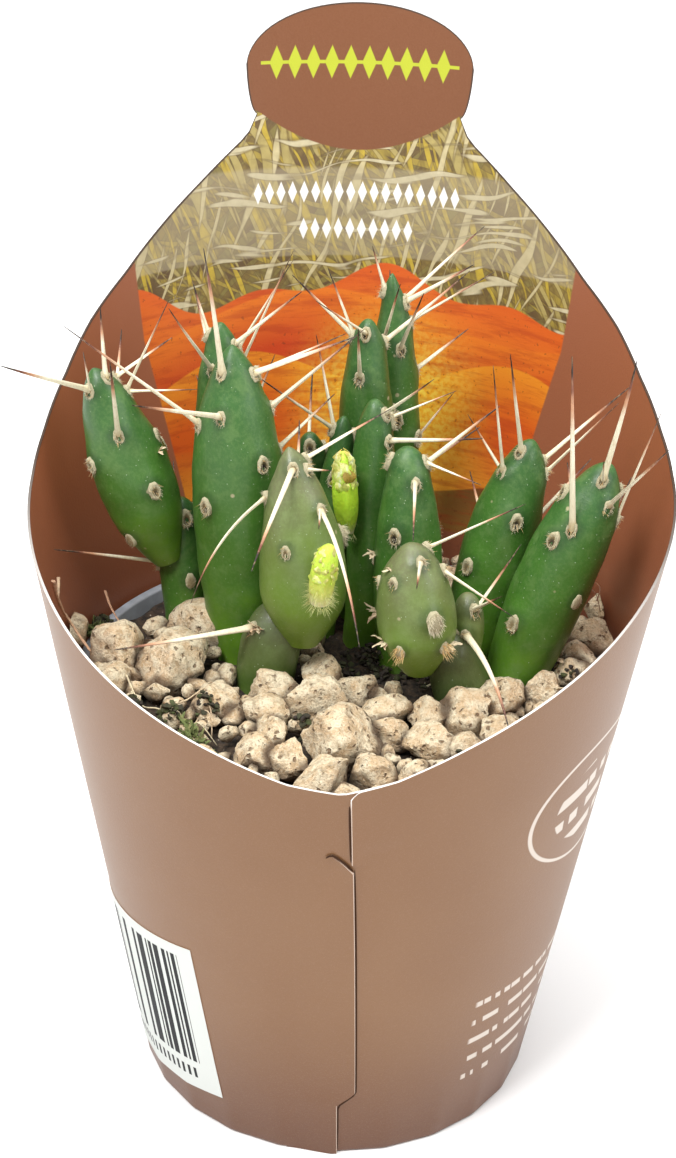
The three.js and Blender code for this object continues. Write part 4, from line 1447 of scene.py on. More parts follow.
STEMS: dict[str, list[Joint]] = {
    "stem_left": [
        Joint((-18.8, 9.5, STEM_FOOT), (-20.2, 9.6, 58), (-20.3, 9.5, 71.5),
              2.8, 0.6, 2.2, 0.5,
              [[0.68, -81, [14.8, -57, 20, 0.3, 0]], [0.93, 24], [0.63, 21]]),
        Joint((-21.8, 7.8, 64), (-25.4, 7.4, 74), (-30, 6.6, 89),
              4.6, 0.46, 1.8, 0.68,
              [[0.76, 14, [15, 2, 55, 0.45, 0]], [0.96, 60, [8.3, -158, 80, 0.45, 0]],
               [0.94, -30, [15, -39, 27, 0.5, 0], [14.5, 4, 39, 0.3, 0]],
               [0.87, 100, [11.7, 121, 61, 0.38, 0], [8.2, 95, 1, 0.35, 0]],
               [0.65, -52], [0.48, 33], [0.66, 88], [0.25, -36]]),
    ],
    "stem_centre_left": [
        Joint((-11.8, 4.2, STEM_FOOT), (-12.75, 4.4, 66), (-13.9, 5.6, 92.8),
              5.4, 0.64, 2.6, 0.7,
              [[0.95, -30, [16.9, -20, 73, 0.6, 0]], [0.94, 66, [12.3, 99, 19, 0.45, 0]],
               [0.83, -64, [20.5, -72, 41, 0.55, 0]], [0.86, -19, [15.1, -40, 22, 0.45, 0]],
               [0.85, 98, [14.2, 101, 40, 0.6, 0]], [0.75, 38], [0.65, -38]]),
    ],
    "stem_rear_left": [
        Joint((-14.2, 12.6, STEM_FOOT), (-15.2, 14.2, 66), (-15.8, 14.8, 92),
              3.4, 0.7, 2.2, 0.6,
              [[0.9, 96, [14.5, 118, 63, 0.38, 0]], [0.95, 60, [10.3, 98, 39, 0.35, 0]],
               [0.9, -21, [14.9, -25, 47, 0.38, 0]], [0.97, -87, [6.6, -113, 71, 0.4, 0]]]),
    ],
    "stem_rear_tall": [
        Joint((5.4, 19.5, STEM_FOOT), (6.2, 21.8, 70), (4.5, 22.4, 96),
              3, 0.66, 2.2, 0.85,
              [[0.96, -80, [6, -68, 72, 0.45, 0]], [0.93, 75, [9.6, 83, 33, 0.4, 0]],
               [0.88, 92, [11.8, 92, 33, 0.4, 0]], [0.83, 18, [14.9, 12, 46, 0.4, 0]],
               [0.85, -32, [15, 8, 46, 0.36, 0]], [0.6, 60], [0.66, 5]]),
    ],
    "stem_rear_centre": [
        Joint((1.6, 14.2, STEM_FOOT), (1.9, 15.6, 70), (1.7, 15.6, 92.6),
              3.2, 0.7, 2.2, 0.6,
              [[0.95, -93, [10.2, -105, 41, 0.4, 0], [9.2, -76, 69, 0.38, 0]],
               [0.86, -18, [17.1, -2, 40, 0.42, 0]], [0.97, -10, [14.9, -27, 32, 0.35, 0]], [0.72, 10]]),
    ],
    "stem_centre": [
        Joint((1.4, 7.2, STEM_FOOT), (3.1, 9, 66), (2.7, 9.3, 85),
              2.7, 0.72, 1.9, 0.55,
              [[0.96, 54, [9.2, 53, 42, 0.42, 0]], [0.88, 45, [11.1, 82, 6, 0.42, 0]],
               [0.93, 90], [0.5, 20]]),
    ],
    "stem_behind_shoot": [
        Joint((-3.6, 9.6, STEM_FOOT), (-2.7, 10.2, 64), (-0.8, 11.6, 81.8),
              2, 0.66, 1.8, 0.6,
              [[0.95, -80, [12.2, -70, 39, 0.36, 0], [11.5, -131, 74, 0.42, 0]], [0.8, -10]]),
    ],
    "stem_small_rear": [
        Joint((-5.5, 14, STEM_FOOT), (-4.9, 14.9, 62), (-4.9, 15.1, 78),
              2.4, 0.7, 1.9, 0.5, [[0.96, 0], [0.8, -40]]),
    ],
    "stem_centre_right": [
        Joint((7.8, 2.6, STEM_FOOT), (7.4, 2.6, 64), (6.6, 3, 81.8),
              4.1, 0.5, 2.6, 0.5,
              [[0.95, 80, [7.2, 67, -12, 0.36, 0]], [0.9, 18, [15, -2, 0, 0.45, 0.1]],
               [0.95, -93], [0.73, -24]]),
    ],
    "stem_front_left": [
        Joint((-10.2, -2.8, STEM_FOOT), (-9.6, -3.2, 56), (-7.6, -3.6, 64.5),
              3.6, 0.62, 2.8, 0.5,
              [[0.83, -54, [17.5, -61, 4, 0.6, 0]]]),
        Joint((-5, -4.6, 59.8), (-4.6, -4.2, 70), (-7, -3.4, 84.2),
              5.05, 0.36, 1.8, 0.75,
              [[0.93, 9, [16.1, -15, -20, 0.42, 0]], [0.8, -84, [15, -44, -39, 0.45, 0.12]],
               [0.75, 48, [19, 16, -26, 0.5, 0.12], [9, 0, 12, 0.3, 0]],
               [0.91, 60, [3.8, 50, 15, 0.35, 0]], [0.6, -18]]),
    ],
    "stem_front_centre": [
        Joint((14.8, -5, STEM_FOOT), (14.6, -6.2, 56), (11, -7.2, 62.5),
              3.4, 0.55, 2.6, 0.5, []),
        Joint((8.6, -8.4, 58.6), (8.2, -8.4, 66), (6.9, -8, 74.8),
              4.6, 0.42, 1.8, 0.6,
              [[0.91, 27, [11, -4, 12, 0.4, 0]], [0.8, 84, [10.9, 45, -9, 0.42, 0]],
               [0.32, -27], [0.8, -39], [0.75, -90], [0.55, 24], [0.32, 39]]),
        Joint((14.2, -5.6, 58), (14.3, -5, 62), (13.9, -4.8, 67),
              1.9, 0.55, 1.2, 0.5,
              [[0.53, -9, [15.5, 17, -14, 0.55, 0.1]], [0.85, 27, [8, 24, 37, 0.5, 0]]]),
    ],
    "stem_right": [
        Joint((14.2, 5.4, STEM_FOOT), (17, 6.4, 64), (21.4, 7.8, 81),
              4.4, 0.56, 2.4, 0.6,
              [[0.96, -39, [15, -27, 69, 0.45, 0]], [0.88, -57, [15.1, -34, 75, 0.42, 0]],
               [0.9, 82, [11.9, 100, 46, 0.4, 0]], [0.75, 6], [0.55, -48]]),
    ],
    "stem_far_right": [
        Joint((18.2, -1.2, STEM_FOOT), (22, -1.4, 62), (29.8, 0.8, 81.4),
              4.5, 0.62, 2.4, 0.55,
              [[0.96, -12, [16.9, 26, 74, 0.5, 0], [4.8, -9, 50, 0.35, 0]],
               [0.9, 24, [14.9, 30, 48, 0.42, 0]], [0.86, 75, [13.5, 113, 70, 0.38, 0]],
               [0.81, -24, [22.1, -37, 82, 0.5, 0]], [0.76, -42], [0.47, -45], [0.61, 30], [0.88, -84]]),
    ],
}

SHOOTS = {
    "young_shoot_upper": Joint((0, 5.4, 69), (-0.4, 4.6, 73), (-0.9, 4.8, 80.2), 1.75, 0.6, 0.8, 0.45),
    "young_shoot_lower": Joint((-3, -10, 66.6), (-3.2, -11, 71), (-2, -10.8, 75.8), 1.7, 0.5, 0.8, 0.45),
}


class Clump:
    """All joints together, for keeping spines and stones clear of them."""

    AXIS_SAMPLES = 25
    LINE_STEPS = 12
    SHORTEST_WITH_REAR_AREOLES = 12
    AREOLE_SPACING = 6.5
    AREOLE_DROP = 4.6
    SPIRAL_TURN = 67
    SPIRAL_SPAN = 130
    CLEAR_OF_GRAVEL = 3

    def __init__(self) -> None:
        """Samples every joint's axis."""
        shares = np.linspace(0, 1, self.AXIS_SAMPLES)
        joints = [(name, joint) for name, stem in STEMS.items() for joint in stem]
        self.points = np.vstack([joint.place(shares) for _, joint in joints])
        self.radii = np.concatenate([joint.girth(shares) for _, joint in joints])
        self.stems = np.repeat([name for name, _ in joints], len(shares))

    def is_clear(self, stem: str, start: np.ndarray, end: np.ndarray, margin: float) -> bool:
        """Whether a line stays clear of the other stems and of the card.

        Args:
            stem: the stem that the line grows from.
            start: where it starts.
            end: where it ends.
            margin: the room it needs.

        Returns:
            True where it is clear all the way.
        """
        others = self.stems != stem
        for i in range(self.LINE_STEPS + 1):
            point = start + (end - start) * i / self.LINE_STEPS
            if SLEEVE.inner(point[2]) - math.hypot(point[0], point[1]) < margin:
                return False
            off = np.linalg.norm(self.points[others] - point, axis=1)
            if np.any(off < self.radii[others] + margin):
                return False
        return True

    def rear_areoles(self, stem: str, joint: Joint, run: SeededRun) -> list[list]:
        """Areoles of a joint's far side, in a spiral that thins out downwards.

        Args:
            stem: the joint's stem.
            joint: the joint.
            run: the stem's seeded run.

        Returns:
            Areoles, those near the tip with a spine.
        """
        length = joint.length()
        if length < self.SHORTEST_WITH_REAR_AREOLES:
            return []
        found = []
        count = math.floor(length / self.AREOLE_SPACING + 0.5)
        for i in range(count):
            share = 0.93 - i * self.AREOLE_DROP / length
            degrees = 180 + (i * self.SPIRAL_TURN) % self.SPIRAL_SPAN - 62 + 16 * (run() - 0.5)
            reach = 8 + 6 * run()
            rise = 15 + 45 * run()
            swing = 30 * (run() - 0.5)
            if share < 0.2 or joint.place(share)[2] < GRAVEL_LEVEL + self.CLEAR_OF_GRAVEL:
                continue
            place, _, _ = joint.surface(share, degrees)
            tip = place + heading(degrees + swing, rise) * reach
            grows = i < count - 2 and self.is_clear(stem, place, tip, 2.4)
            found.append([share, degrees, *([[reach, degrees + swing, rise, 0.4, 0]] if grows else [])])
        return found

    def near(self, x: float, y: float, room: float) -> bool:
        """Whether a place on the gravel is closer to a stem's foot than some room.

        Args:
            x: the place to the right.
            y: the place to the rear.
            room: how close is too close.

        Returns:
            True where it is too close.
        """
        low = self.points[:, 2] <= GRAVEL_LEVEL + 4
        off = np.hypot(self.points[low, 0] - x, self.points[low, 1] - y)
        return bool(np.any(off <= self.radii[low] + room))


CLUMP = Clump()


class Dress(Enum):
    """What an areole wears besides its spines."""

    HOLLOW = "a felt rim round a hollow"
    BARE = "a worn brown pad"
    WOOLLY = "a pad of pale wool"
    TUFTED = "a tuft of ochre bristles"


class Hairs(NamedTuple):
    """A bunch of hairs: how many, their least and greatest length, and how far they lean.

    Splay leans them outwards and droop towards the joint's foot.
    """

    count: int
    shortest: float
    longest: float
    splay: float
    droop: float
    width: float
    tint: int = 0


HAIRS = {
    Dress.HOLLOW: (Hairs(60, 0.28, 0.62, 0.9, 0.3, 0.07), Hairs(6, 0.5, 1.0, 0.5, 0.2, 0.09, 1)),
    Dress.BARE: (Hairs(34, 0.15, 0.4, 0.9, 0.3, 0.07),),
    Dress.WOOLLY: (Hairs(280, 0.35, 0.9, 0.9, 0.6, 0.1),),
    Dress.TUFTED: (Hairs(24, 0.3, 0.6, 0.8, 0.2, 0.07), Hairs(44, 1.0, 2.1, 0.35, 0.35, 0.11, 1)),
}


class FeltStep(NamedTuple):
    """One ring of a felt cushion: its width, its height and how deep in the hollow it lies."""

    width: float
    height: float
    hollow: float


FELT_STEPS = (
    FeltStep(1.0, -0.55, 0.3), FeltStep(1.04, -0.1, 0.25), FeltStep(0.98, 0.1, 0.1),
    FeltStep(0.86, 0.24, 0.0), FeltStep(0.72, 0.28, 0.15), FeltStep(0.55, 0.2, 0.5),
    FeltStep(0.36, 0.08, 0.85), FeltStep(0.16, 0.04, 1.0),
)


@dataclass
class Areole:
    """One areole: a felt cushion, its fine hairs and its spines."""

    joint: Joint
    row: list
    seed: int
    young: bool
    half_width: float = 0.7
    half_length: float = 1.0
    sides: int = 24
    spine_rings: int = 20
    spine_sides: int = 10
    sink: float = 0.9
    crown_from: float = 0.9
    bare_size: float = 1.2
    bare_size_young: float = 0.9
    bare_chance: float = 0.36
    run: SeededRun = field(init=False)

    def __post_init__(self) -> None:
        """Finds the areole's place and directions."""
        self.run = SeededRun(self.seed * 7 + 3)
        self.share, self.degrees = self.row[:2]
        self.spines = self.row[2:]
        self.place, self.out, self.along = self.joint.surface(self.share, self.degrees)
        if self.share > self.crown_from:
            self.out = unit(self.out + self.along * (self.share - self.crown_from) * 8)
        self.up = unit(self.along - self.out * (self.along @ self.out))
        self.right = np.cross(self.up, self.out)
        plain = self.bare_size_young if self.young else self.bare_size
        self.size = self.run.between(0.88, 1.12) * (1.0 if self.spines else plain)
        # How dark the hollow mark gets: painted shade in a hollow, the pad's own brown on a domed pad.
        self.darkness = self.run.between(0.8, 1.0) if self.share > 0.72 else self.run.between(0.45, 0.85)
        self.dress = Dress.HOLLOW
        if not self.spines and self.young and self.share < 0.6:
            self.dress = Dress.WOOLLY if self.share > 0.45 else Dress.TUFTED
        elif not self.spines and self.share < 0.8 and self.run() < self.bare_chance:
            self.dress = Dress.BARE if self.share > 0.15 else Dress.TUFTED
        self.size *= {Dress.WOOLLY: 1.5, Dress.BARE: 0.85}.get(self.dress, 1.0)

    def lift(self) -> float:
        """How far the skin swells under the areole."""
        return 0.32 * self.size

    def domed(self, step: FeltStep) -> FeltStep:
        """The same ring on a cushion that is domed instead of hollow.

        Args:
            step: the ring on a hollow cushion.

        Returns:
            The ring on a dome.
        """
        brown, dome = (0.7, 0.3) if self.dress is Dress.BARE else (0.1, 0.42)
        height = dome * math.sqrt(max(0.0, 1.1 - step.width ** 2)) if step.width < 1 else step.height
        return FeltStep(step.width, height, brown * smooth((1 - step.width) * 3))

    def cushion(self, draft: Draft) -> None:
        """Adds the felt cushion, a rim round a hollow that lies towards the joint's foot.

        Args:
            draft: the mesh to add to.
        """
        steps = FELT_STEPS
        if self.dress is not Dress.HOLLOW:
            steps = tuple(self.domed(step) for step in steps)
        rings, marks = [], []
        turns = ring_angles(self.sides)
        origin = self.place + self.out * self.lift()
        for width, height, hollow in steps:
            ragged = 1 + 0.04 * np.sin(turns * 3 + self.seed) + 0.04 * np.sin(turns * 7 + self.seed * 2)
            across = np.sin(turns) * width * self.half_width * ragged
            along = np.cos(turns) * width * self.half_length * ragged
            along = along * np.where(along > 0, 1.15, 1.0) - 0.25 - 0.34 * hollow
            spot = origin + np.outer(across * self.size, self.right) + np.outer(along * self.size, self.up)
            rings.append(spot + self.out * height * self.size)
            marks.append(hollow * self.darkness)
        draft.tube(np.array(rings), rings[-1].mean(axis=0), hollow=np.array(marks))

    def wool(self, draft: Draft) -> None:
        """Adds the areole's wool, in tint 0, and its bristles, in tint 1."""
        for bunch in HAIRS[self.dress]:
            draft.needles(*self.hairs(bunch), bunch.width, bunch.tint, reach=1.0)

    def hairs(self, bunch: Hairs) -> tuple[np.ndarray, np.ndarray]:
        """The roots and the tips of fine hairs that stand out of the cushion.

        Args:
            bunch: what the hairs are like.

        Returns:
            Their roots and their tips.
        """
        roots, tips = [], []
        origin = self.place + self.out * (self.lift() + 0.1)
        for _ in range(bunch.count):
            turn, ring = self.run.between(0, 2 * math.pi), math.sqrt(self.run.between(0.1, 1.0))
            across = self.right * math.sin(turn) * self.half_width
            away = across + self.up * (math.cos(turn) * self.half_length - 0.25)
            root = origin + away * ring * self.size
            lean = self.out + away * bunch.splay * self.run.between(0.3, 1.2) - self.up * bunch.droop
            lean = lean + np.array([self.run.between(-0.3, 0.3) for _ in range(3)])
            roots.append(root - unit(lean) * 0.15)
            tips.append(root + unit(lean) * self.run.between(bunch.shortest, bunch.longest) * self.size)
        return np.array(roots), np.array(tips)

    def spine(self, draft: Draft, length: float, towards: float, rise: float, root: float,
              bow: float) -> None:
        """Adds one flattened, tapering spine.

        Args:
            draft: the mesh to add to.
            length: from the skin to the tip.
            towards: its heading in degrees from the front.
            rise: its rise in degrees.
            root: half its width at the root.
            bow: how far it bows upwards, as a share of its length.
        """
        direction = heading(towards, rise)
        up = unit(np.array([0, 0, 1.0]) - direction * direction[2])
        start, _, _ = self.joint.surface(self.share, self.degrees, 0.1)
        shares = np.linspace(0, 1, self.spine_rings) ** 1.1
        reach = shares * (length + self.sink) - self.sink
        t = np.clip(reach / length, 0, 1)
        middle = start + np.outer(reach, direction) + np.outer(4 * bow * length * t * (1 - t), up)
        swing, waver = self.run.between(-0.012, 0.012), self.run.between(0, 6)
        wide = unit(np.cross(direction, self.out + up * 0.3))
        thick = unit(np.cross(wide, direction))
        middle = middle + np.outer(np.sin(t * math.pi + waver * 0.1) * t * swing * length, wide)
        base = 1 + 0.35 * np.exp(-((reach / 0.7) ** 2))
        width = (root * 0.7 * (1 - t) ** 0.8 + 0.05) * base
        depth = width * (0.62 + 0.2 * np.exp(-((reach / 0.9) ** 2)))
        turns = ring_angles(self.spine_sides)
        across = np.outer(width, np.cos(turns))[..., None] * wide
        rings = middle[:, None, :] + across + np.outer(depth, np.sin(turns))[..., None] * thick
        dusk = self.run.between(-0.08, 0.06)
        flank = np.tile(np.clip(-np.cos(turns), 0, 1), (self.spine_rings, 1))
        draft.tube(rings, middle[-1] + direction * 0.15, reach=np.clip(t + dusk * t, 0, 1), flank=flank)


@dataclass(frozen=True)
class StemLook:
    """The finishes that the pieces of a stem share."""

    skin: bpy.types.Material
    felt: bpy.types.Material
    wool: bpy.types.Material
    bristle: bpy.types.Material
    horn: bpy.types.Material
    slot: Slot


@dataclass
class Stem:
    """One stem of the clump, with its skin, areoles and spines."""

    name: str
    seed: int
    look: StemLook
    sides: int = 52
    low_rings: int = 32
    high_rings: int = 24
    swell: float = 0.36
    swell_reach: float = 1.75
    dent_reach: float = 1.3
    foot_dent: float = 0.8
    roughness: float = 0.16
    rough_rate: float = 0.33

    def __post_init__(self) -> None:
        """Lists the stem's areoles, joint by joint."""
        run = SeededRun(self.seed)
        self.areoles: list[Areole] = []
        for joint in STEMS[self.name]:
            rows = [*joint.areoles, *CLUMP.rear_areoles(self.name, joint, run)]
            start = len(self.areoles) + self.seed * 40
            young = self.look.slot is Slot.YOUNG_STEM
            self.areoles += [Areole(joint, row, start + i, young) for i, row in enumerate(rows)]

    def skin(self) -> Draft:
        """The joints' skins, swollen under their areoles.

        Returns:
            The mesh, with how far along a joint its points lie.
        """
        draft = Draft("share", "dent")
        for order, joint in enumerate(STEMS[self.name]):
            low = np.linspace(0, joint.widest, self.low_rings, endpoint=False)
            past = np.sin(np.linspace(0, math.pi / 2, self.high_rings)[:-1])
            shares = np.concatenate([low, joint.widest + past * (1 - joint.widest)])
            girth = joint.girth(shares)
            ways = joint.spokes(shares, ring_angles(self.sides))
            rings = joint.place(shares)[:, None, :] + ways * girth[:, None, None]
            swell, dent = np.zeros(rings.shape[:2]), np.zeros(rings.shape[:2])
            for areole in self.areoles:
                if areole.joint is joint:
                    off = np.linalg.norm(rings - areole.place, axis=2)
                    mound = self.swell * areole.size * np.exp(-((off / self.swell_reach) ** 2))
                    swell = np.maximum(swell, mound)
                    dent = np.maximum(dent, np.exp(-((off / (self.dent_reach * areole.size)) ** 2)))
            # Painted shade over the front stems' lowest joint, which lies in the shadow under them.
            if order == 0 and self.look.slot is Slot.YOUNG_STEM:
                dent += self.foot_dent
            rough = np.array([noise.noise(Vector(p) * self.rough_rate) for p in rings.reshape(-1, 3)])
            swell = swell + self.roughness * rough.reshape(swell.shape) * np.minimum(girth / 2, 1)[:, None]
            rings = rings + ways * swell[..., None]
            tip = joint.place(1.0)
            if shares[-1] > 0.999:
                rings, shares, dent = rings[:-1], shares[:-1], dent[:-1]
            draft.tube(rings, tip, share=shares if order == 0 else 0.12 + 0.88 * shares, dent=dent)
        return draft

    def build(self) -> None:
        """Makes the stem's pieces."""
        self.skin().object(self.name + "_skin", [self.look.skin], self.look.slot, (self.name,))
        felt, wool, spines = Draft("hollow"), Draft("reach"), Draft("reach", "flank")
        for areole in self.areoles:
            areole.cushion(felt)
            areole.wool(wool)
            for spine in areole.spines:
                areole.spine(spines, *spine)
        felt.object(self.name + "_areoles", [self.look.felt], self.look.slot)
        wool.object(self.name + "_wool", [self.look.wool, self.look.bristle], self.look.slot)
        if spines.count:
            spines.object(self.name + "_spines", [self.look.horn], self.look.slot)


class TuftRow(NamedTuple):
    """One row of a shoot's scales: its height, its number of scales, their size and the first one's turn."""

    share: float
    count: int
    reach: float
    width: float
    turn: float


TUFT_ROWS = (
    TuftRow(0.64, 6, 0.24, 0.50, 0.0), TuftRow(0.72, 6, 0.24, 0.48, 33.0),
    TuftRow(0.80, 5, 0.22, 0.42, 12.0), TuftRow(0.88, 4, 0.17, 0.32, 50.0),
)
DRY_ROW = TUFT_ROWS[1]


@dataclass
class YoungShoot:
    """One lime-green shoot: a smooth body with a tuft of crumpled scales on its upper third.

    foot is the share of its joint that is left out at the base, collar its radius there, splay how far
    its base hairs lean out, and crumple how far down the tuft reaches.
    """

    name: str
    skin: bpy.types.Material
    hair: bpy.types.Material
    seed: int
    foot: float
    collar: float
    base_hairs: int
    splay: float
    crumple: float
    slim: float = 0.86
    sides: int = 28
    rings: int = 30
    hair_width: float = 0.065
    tuft_inset: float = 0.86
    widest: float = 0.5
    closes_from: float = 0.56
    closes_over: float = 0.44
    ribs: int = 5

    def body(self, joint: Joint) -> Draft:
        """The smooth body, wider upwards, with its pale collar.

        Args:
            joint: the joint that the shoot follows.

        Returns:
            The mesh.
        """
        draft = Draft("share", "scar")
        shares = self.foot + (1 - self.foot) * (1 - (1 - np.linspace(0, 0.999, self.rings)) ** 1.6)
        own = (shares - self.foot) / (1 - self.foot)
        turns = ring_angles(self.sides)
        ways = joint.spokes(shares, turns)
        quarter = np.minimum(own / self.widest, 1) * math.pi / 2
        widen = self.collar + (joint.radius - self.collar) * np.sin(quarter)
        past = np.clip(own - self.closes_from, 0, 1) / self.closes_over
        close = np.sqrt(np.clip(1 - past ** 2.2, 0, 1))
        girth = widen * close * self.slim
        ribs = 1 + 0.05 * np.sin(turns * self.ribs + 1.0)[None, :] * np.sin(own * math.pi)[:, None]
        rings = joint.place(shares)[:, None, :] + ways * (girth[:, None] * ribs)[..., None]
        draft.tube(rings, joint.place(1.0), share=own * 0.62)
        return draft

    def tuft(self, draft: Draft, joint: Joint, run: SeededRun) -> None:
        """Adds the crumpled scales in rows, the dry one facing the front.

        Args:
            draft: the mesh to add to.
            joint: the joint that the shoot follows.
            run: the shoot's seeded run.
        """
        length = joint.length() * (1 - self.foot)
        for row in TUFT_ROWS:
            at = self.foot + (1 - self.foot) * (1 - (1 - row.share) * self.crumple)
            for i in range(row.count):
                degrees = row.turn + i * 360 / row.count + run.between(-9, 9)
                place, out, along = joint.surface(at, degrees, 0.0)
                axis = joint.place(at)
                place = axis + (place - axis) * self.slim * self.tuft_inset
                dry = 1.0 if row is DRY_ROW and i == 0 else 0.0
                draft.scale(place, along, out, length * row.reach * run.between(0.85, 1.15),
                            row.width * joint.radius * self.slim, run.between(0.5, 0.75),
                            phase=run.between(0, 6), scar=dry,
                            share=np.linspace(0.58, 1.0, Draft.SCALE_RINGS))

    def build(self) -> None:
        """Makes the shoot."""
        joint, run = SHOOTS[self.name], SeededRun(self.seed)
        draft = self.body(joint)
        self.tuft(draft, joint, run)
        draft.object(self.name + "_body", [self.skin], Slot.SHOOT, (self.name,))
        roots, tips = [], []
        for _ in range(self.base_hairs):
            share, degrees = self.foot + run.between(-0.05, 0.24), run.between(0, 360)
            place, out, along = joint.surface(share, degrees)
            axis = joint.place(share)
            place = axis + out * self.collar * self.slim * run.between(0.85, 1.05)
            lean = out * run.between(0.4, 1.0) * self.splay - along * run.between(-0.2, 0.9)
            lean = lean + FRONT * 0.45
            roots.append(place - out * 0.1)
            tips.append(place + unit(lean) * run.between(0.5, 1.5))
        hairs = Draft("reach")
        hairs.needles(np.array(roots), np.array(tips), self.hair_width, reach=1.0)
        hairs.object(self.name + "_hairs", [self.hair], Slot.SHOOT)


@dataclass(frozen=True)
class NurseryPot:
    """The nursery pot: a thin tapered wall, a thicker band at the rim and drain holes."""

    base_radius: float = 22.4
    wall: float = 0.9
    band_height: float = 4.2
    band: float = 1.3
    slack: float = 0.15
    floor: float = 1.1
    hole_radius: float = 2.4
    hole_ring: float = 15.0
    holes: int = 6
    corner: float = 0.3
    corner_turns: tuple[float, ...] = (0.0, 0.5, 1.0, 1.571)
    wall_heights: tuple[float, ...] = (50.0, 40.0, 25.0, 10.0)
    sides: int = 120

    def outer(self, height: float | np.ndarray) -> float | np.ndarray:
        """The band's outer radius at a height."""
        return SLEEVE.inner(height) - GAP - self.slack

    def inner(self, height: float | np.ndarray) -> float | np.ndarray:
        """The inner radius at a height."""
        share = (height - POT_FOOT) / (POT_TOP - POT_FOOT)
        low = self.base_radius - self.wall
        return low + share * (self.outer(POT_TOP) - self.band - low)

    def profile(self) -> list[tuple[float, float]]:
        """The radius and height of each ring, from the middle of the underside to that of the floor.

        Returns:
            A radius and a height for each ring.
        """
        band_foot = POT_TOP - self.band_height
        thin = self.inner(band_foot) + self.wall
        corner, shoulder = self.corner, POT_TOP - self.corner
        rim = [(self.outer(POT_TOP) - corner + corner * math.cos(turn), shoulder + corner * math.sin(turn))
               for turn in self.corner_turns]
        lip = [(self.inner(POT_TOP) + corner - corner * math.sin(turn), shoulder + corner * math.cos(turn))
               for turn in self.corner_turns]
        middle = [(self.inner(z), z) for z in (*self.wall_heights, POT_FOOT + self.floor + corner)]
        return [
            (self.base_radius - 4.0, POT_FOOT), (self.base_radius - 0.5, POT_FOOT),
            (self.base_radius - 0.1, POT_FOOT + 0.15), (self.base_radius, POT_FOOT + 0.5),
            (thin - 0.1, band_foot - 0.6), (thin, band_foot - 0.1), (self.outer(band_foot) - 0.2, band_foot),
            (self.outer(band_foot), band_foot + 0.2), *rim, *lip, *middle,
            (self.inner(3.0) - 0.8, POT_FOOT + self.floor),
        ]

    def build(self) -> None:
        """Makes the pot and drills its drain holes."""
        circle = unit_circle(self.sides)
        draft = Draft()
        draft.tube(np.array([raised(circle * radius, height) for radius, height in self.profile()]))
        pot = draft.object("nursery_pot_shell", [PotPlastic().material()], Slot.POT, ("nursery_pot",))
        drill = Draft()
        for i in range(self.holes):
            middle = heading(i * 360 / self.holes) * self.hole_ring
            bore = raised(circle[::5] * self.hole_radius, 0.0) + middle
            drill.tube(np.array([bore - [0, 0, 3.0], bore + [0, 0, 4.0]]))
        cutter = bpy.data.objects.new("drain_drill", drill.mesh("drain_drill"))
        bpy.context.scene.collection.objects.link(cutter)
        cut = pot.modifiers.new("drain", "BOOLEAN")
        cut.operation, cut.solver, cut.object = "DIFFERENCE", "EXACT", cutter
        graph = bpy.context.evaluated_depsgraph_get()
        drilled = bpy.data.meshes.new_from_object(pot.evaluated_get(graph))
        pot.modifiers.clear()
        pot.data = drilled
        drilled.set_sharp_from_angle(angle=math.radians(50))
        bpy.data.objects.remove(cutter)


POT = NurseryPot()

LARGE_STONES = [
    (-17.2, 4.6, 9), (-20.2, -4.2, 10), (-8, -9, 7), (-3, -12, 8), (0, -20, 9), (-9, -14, 6), (4, -14, 7),
    (10, -13.5, 6), (10, -20, 7), (-2, -28, 7), (3, -26, 6), (18, -10, 7), (23, -8, 6),
    (14, -14, 7), (-13, -19, 7), (-27, -1, 9), (30, 5, 7), (32, 11, 5), (-28, -8, 6), (-21, -12, 6),
    (-15, -12, 6), (-10, -23, 6), (-6, -24, 6), (5, -18, 5), (27, -3, 5), (14, -22, 6), (18, -18, 6),
    (-33, 3, 5), (28, 0, 6), (24, -13, 5), (-25, -15, 5), (8, -27, 5),
]


@dataclass(frozen=True)
class Stone:
    """One lump of pumice, by its place, its width and its seeded turn and tilt."""

    x: float
    y: float
    width: float
    turn: float
    tilt: float
    seed: int
    height: float


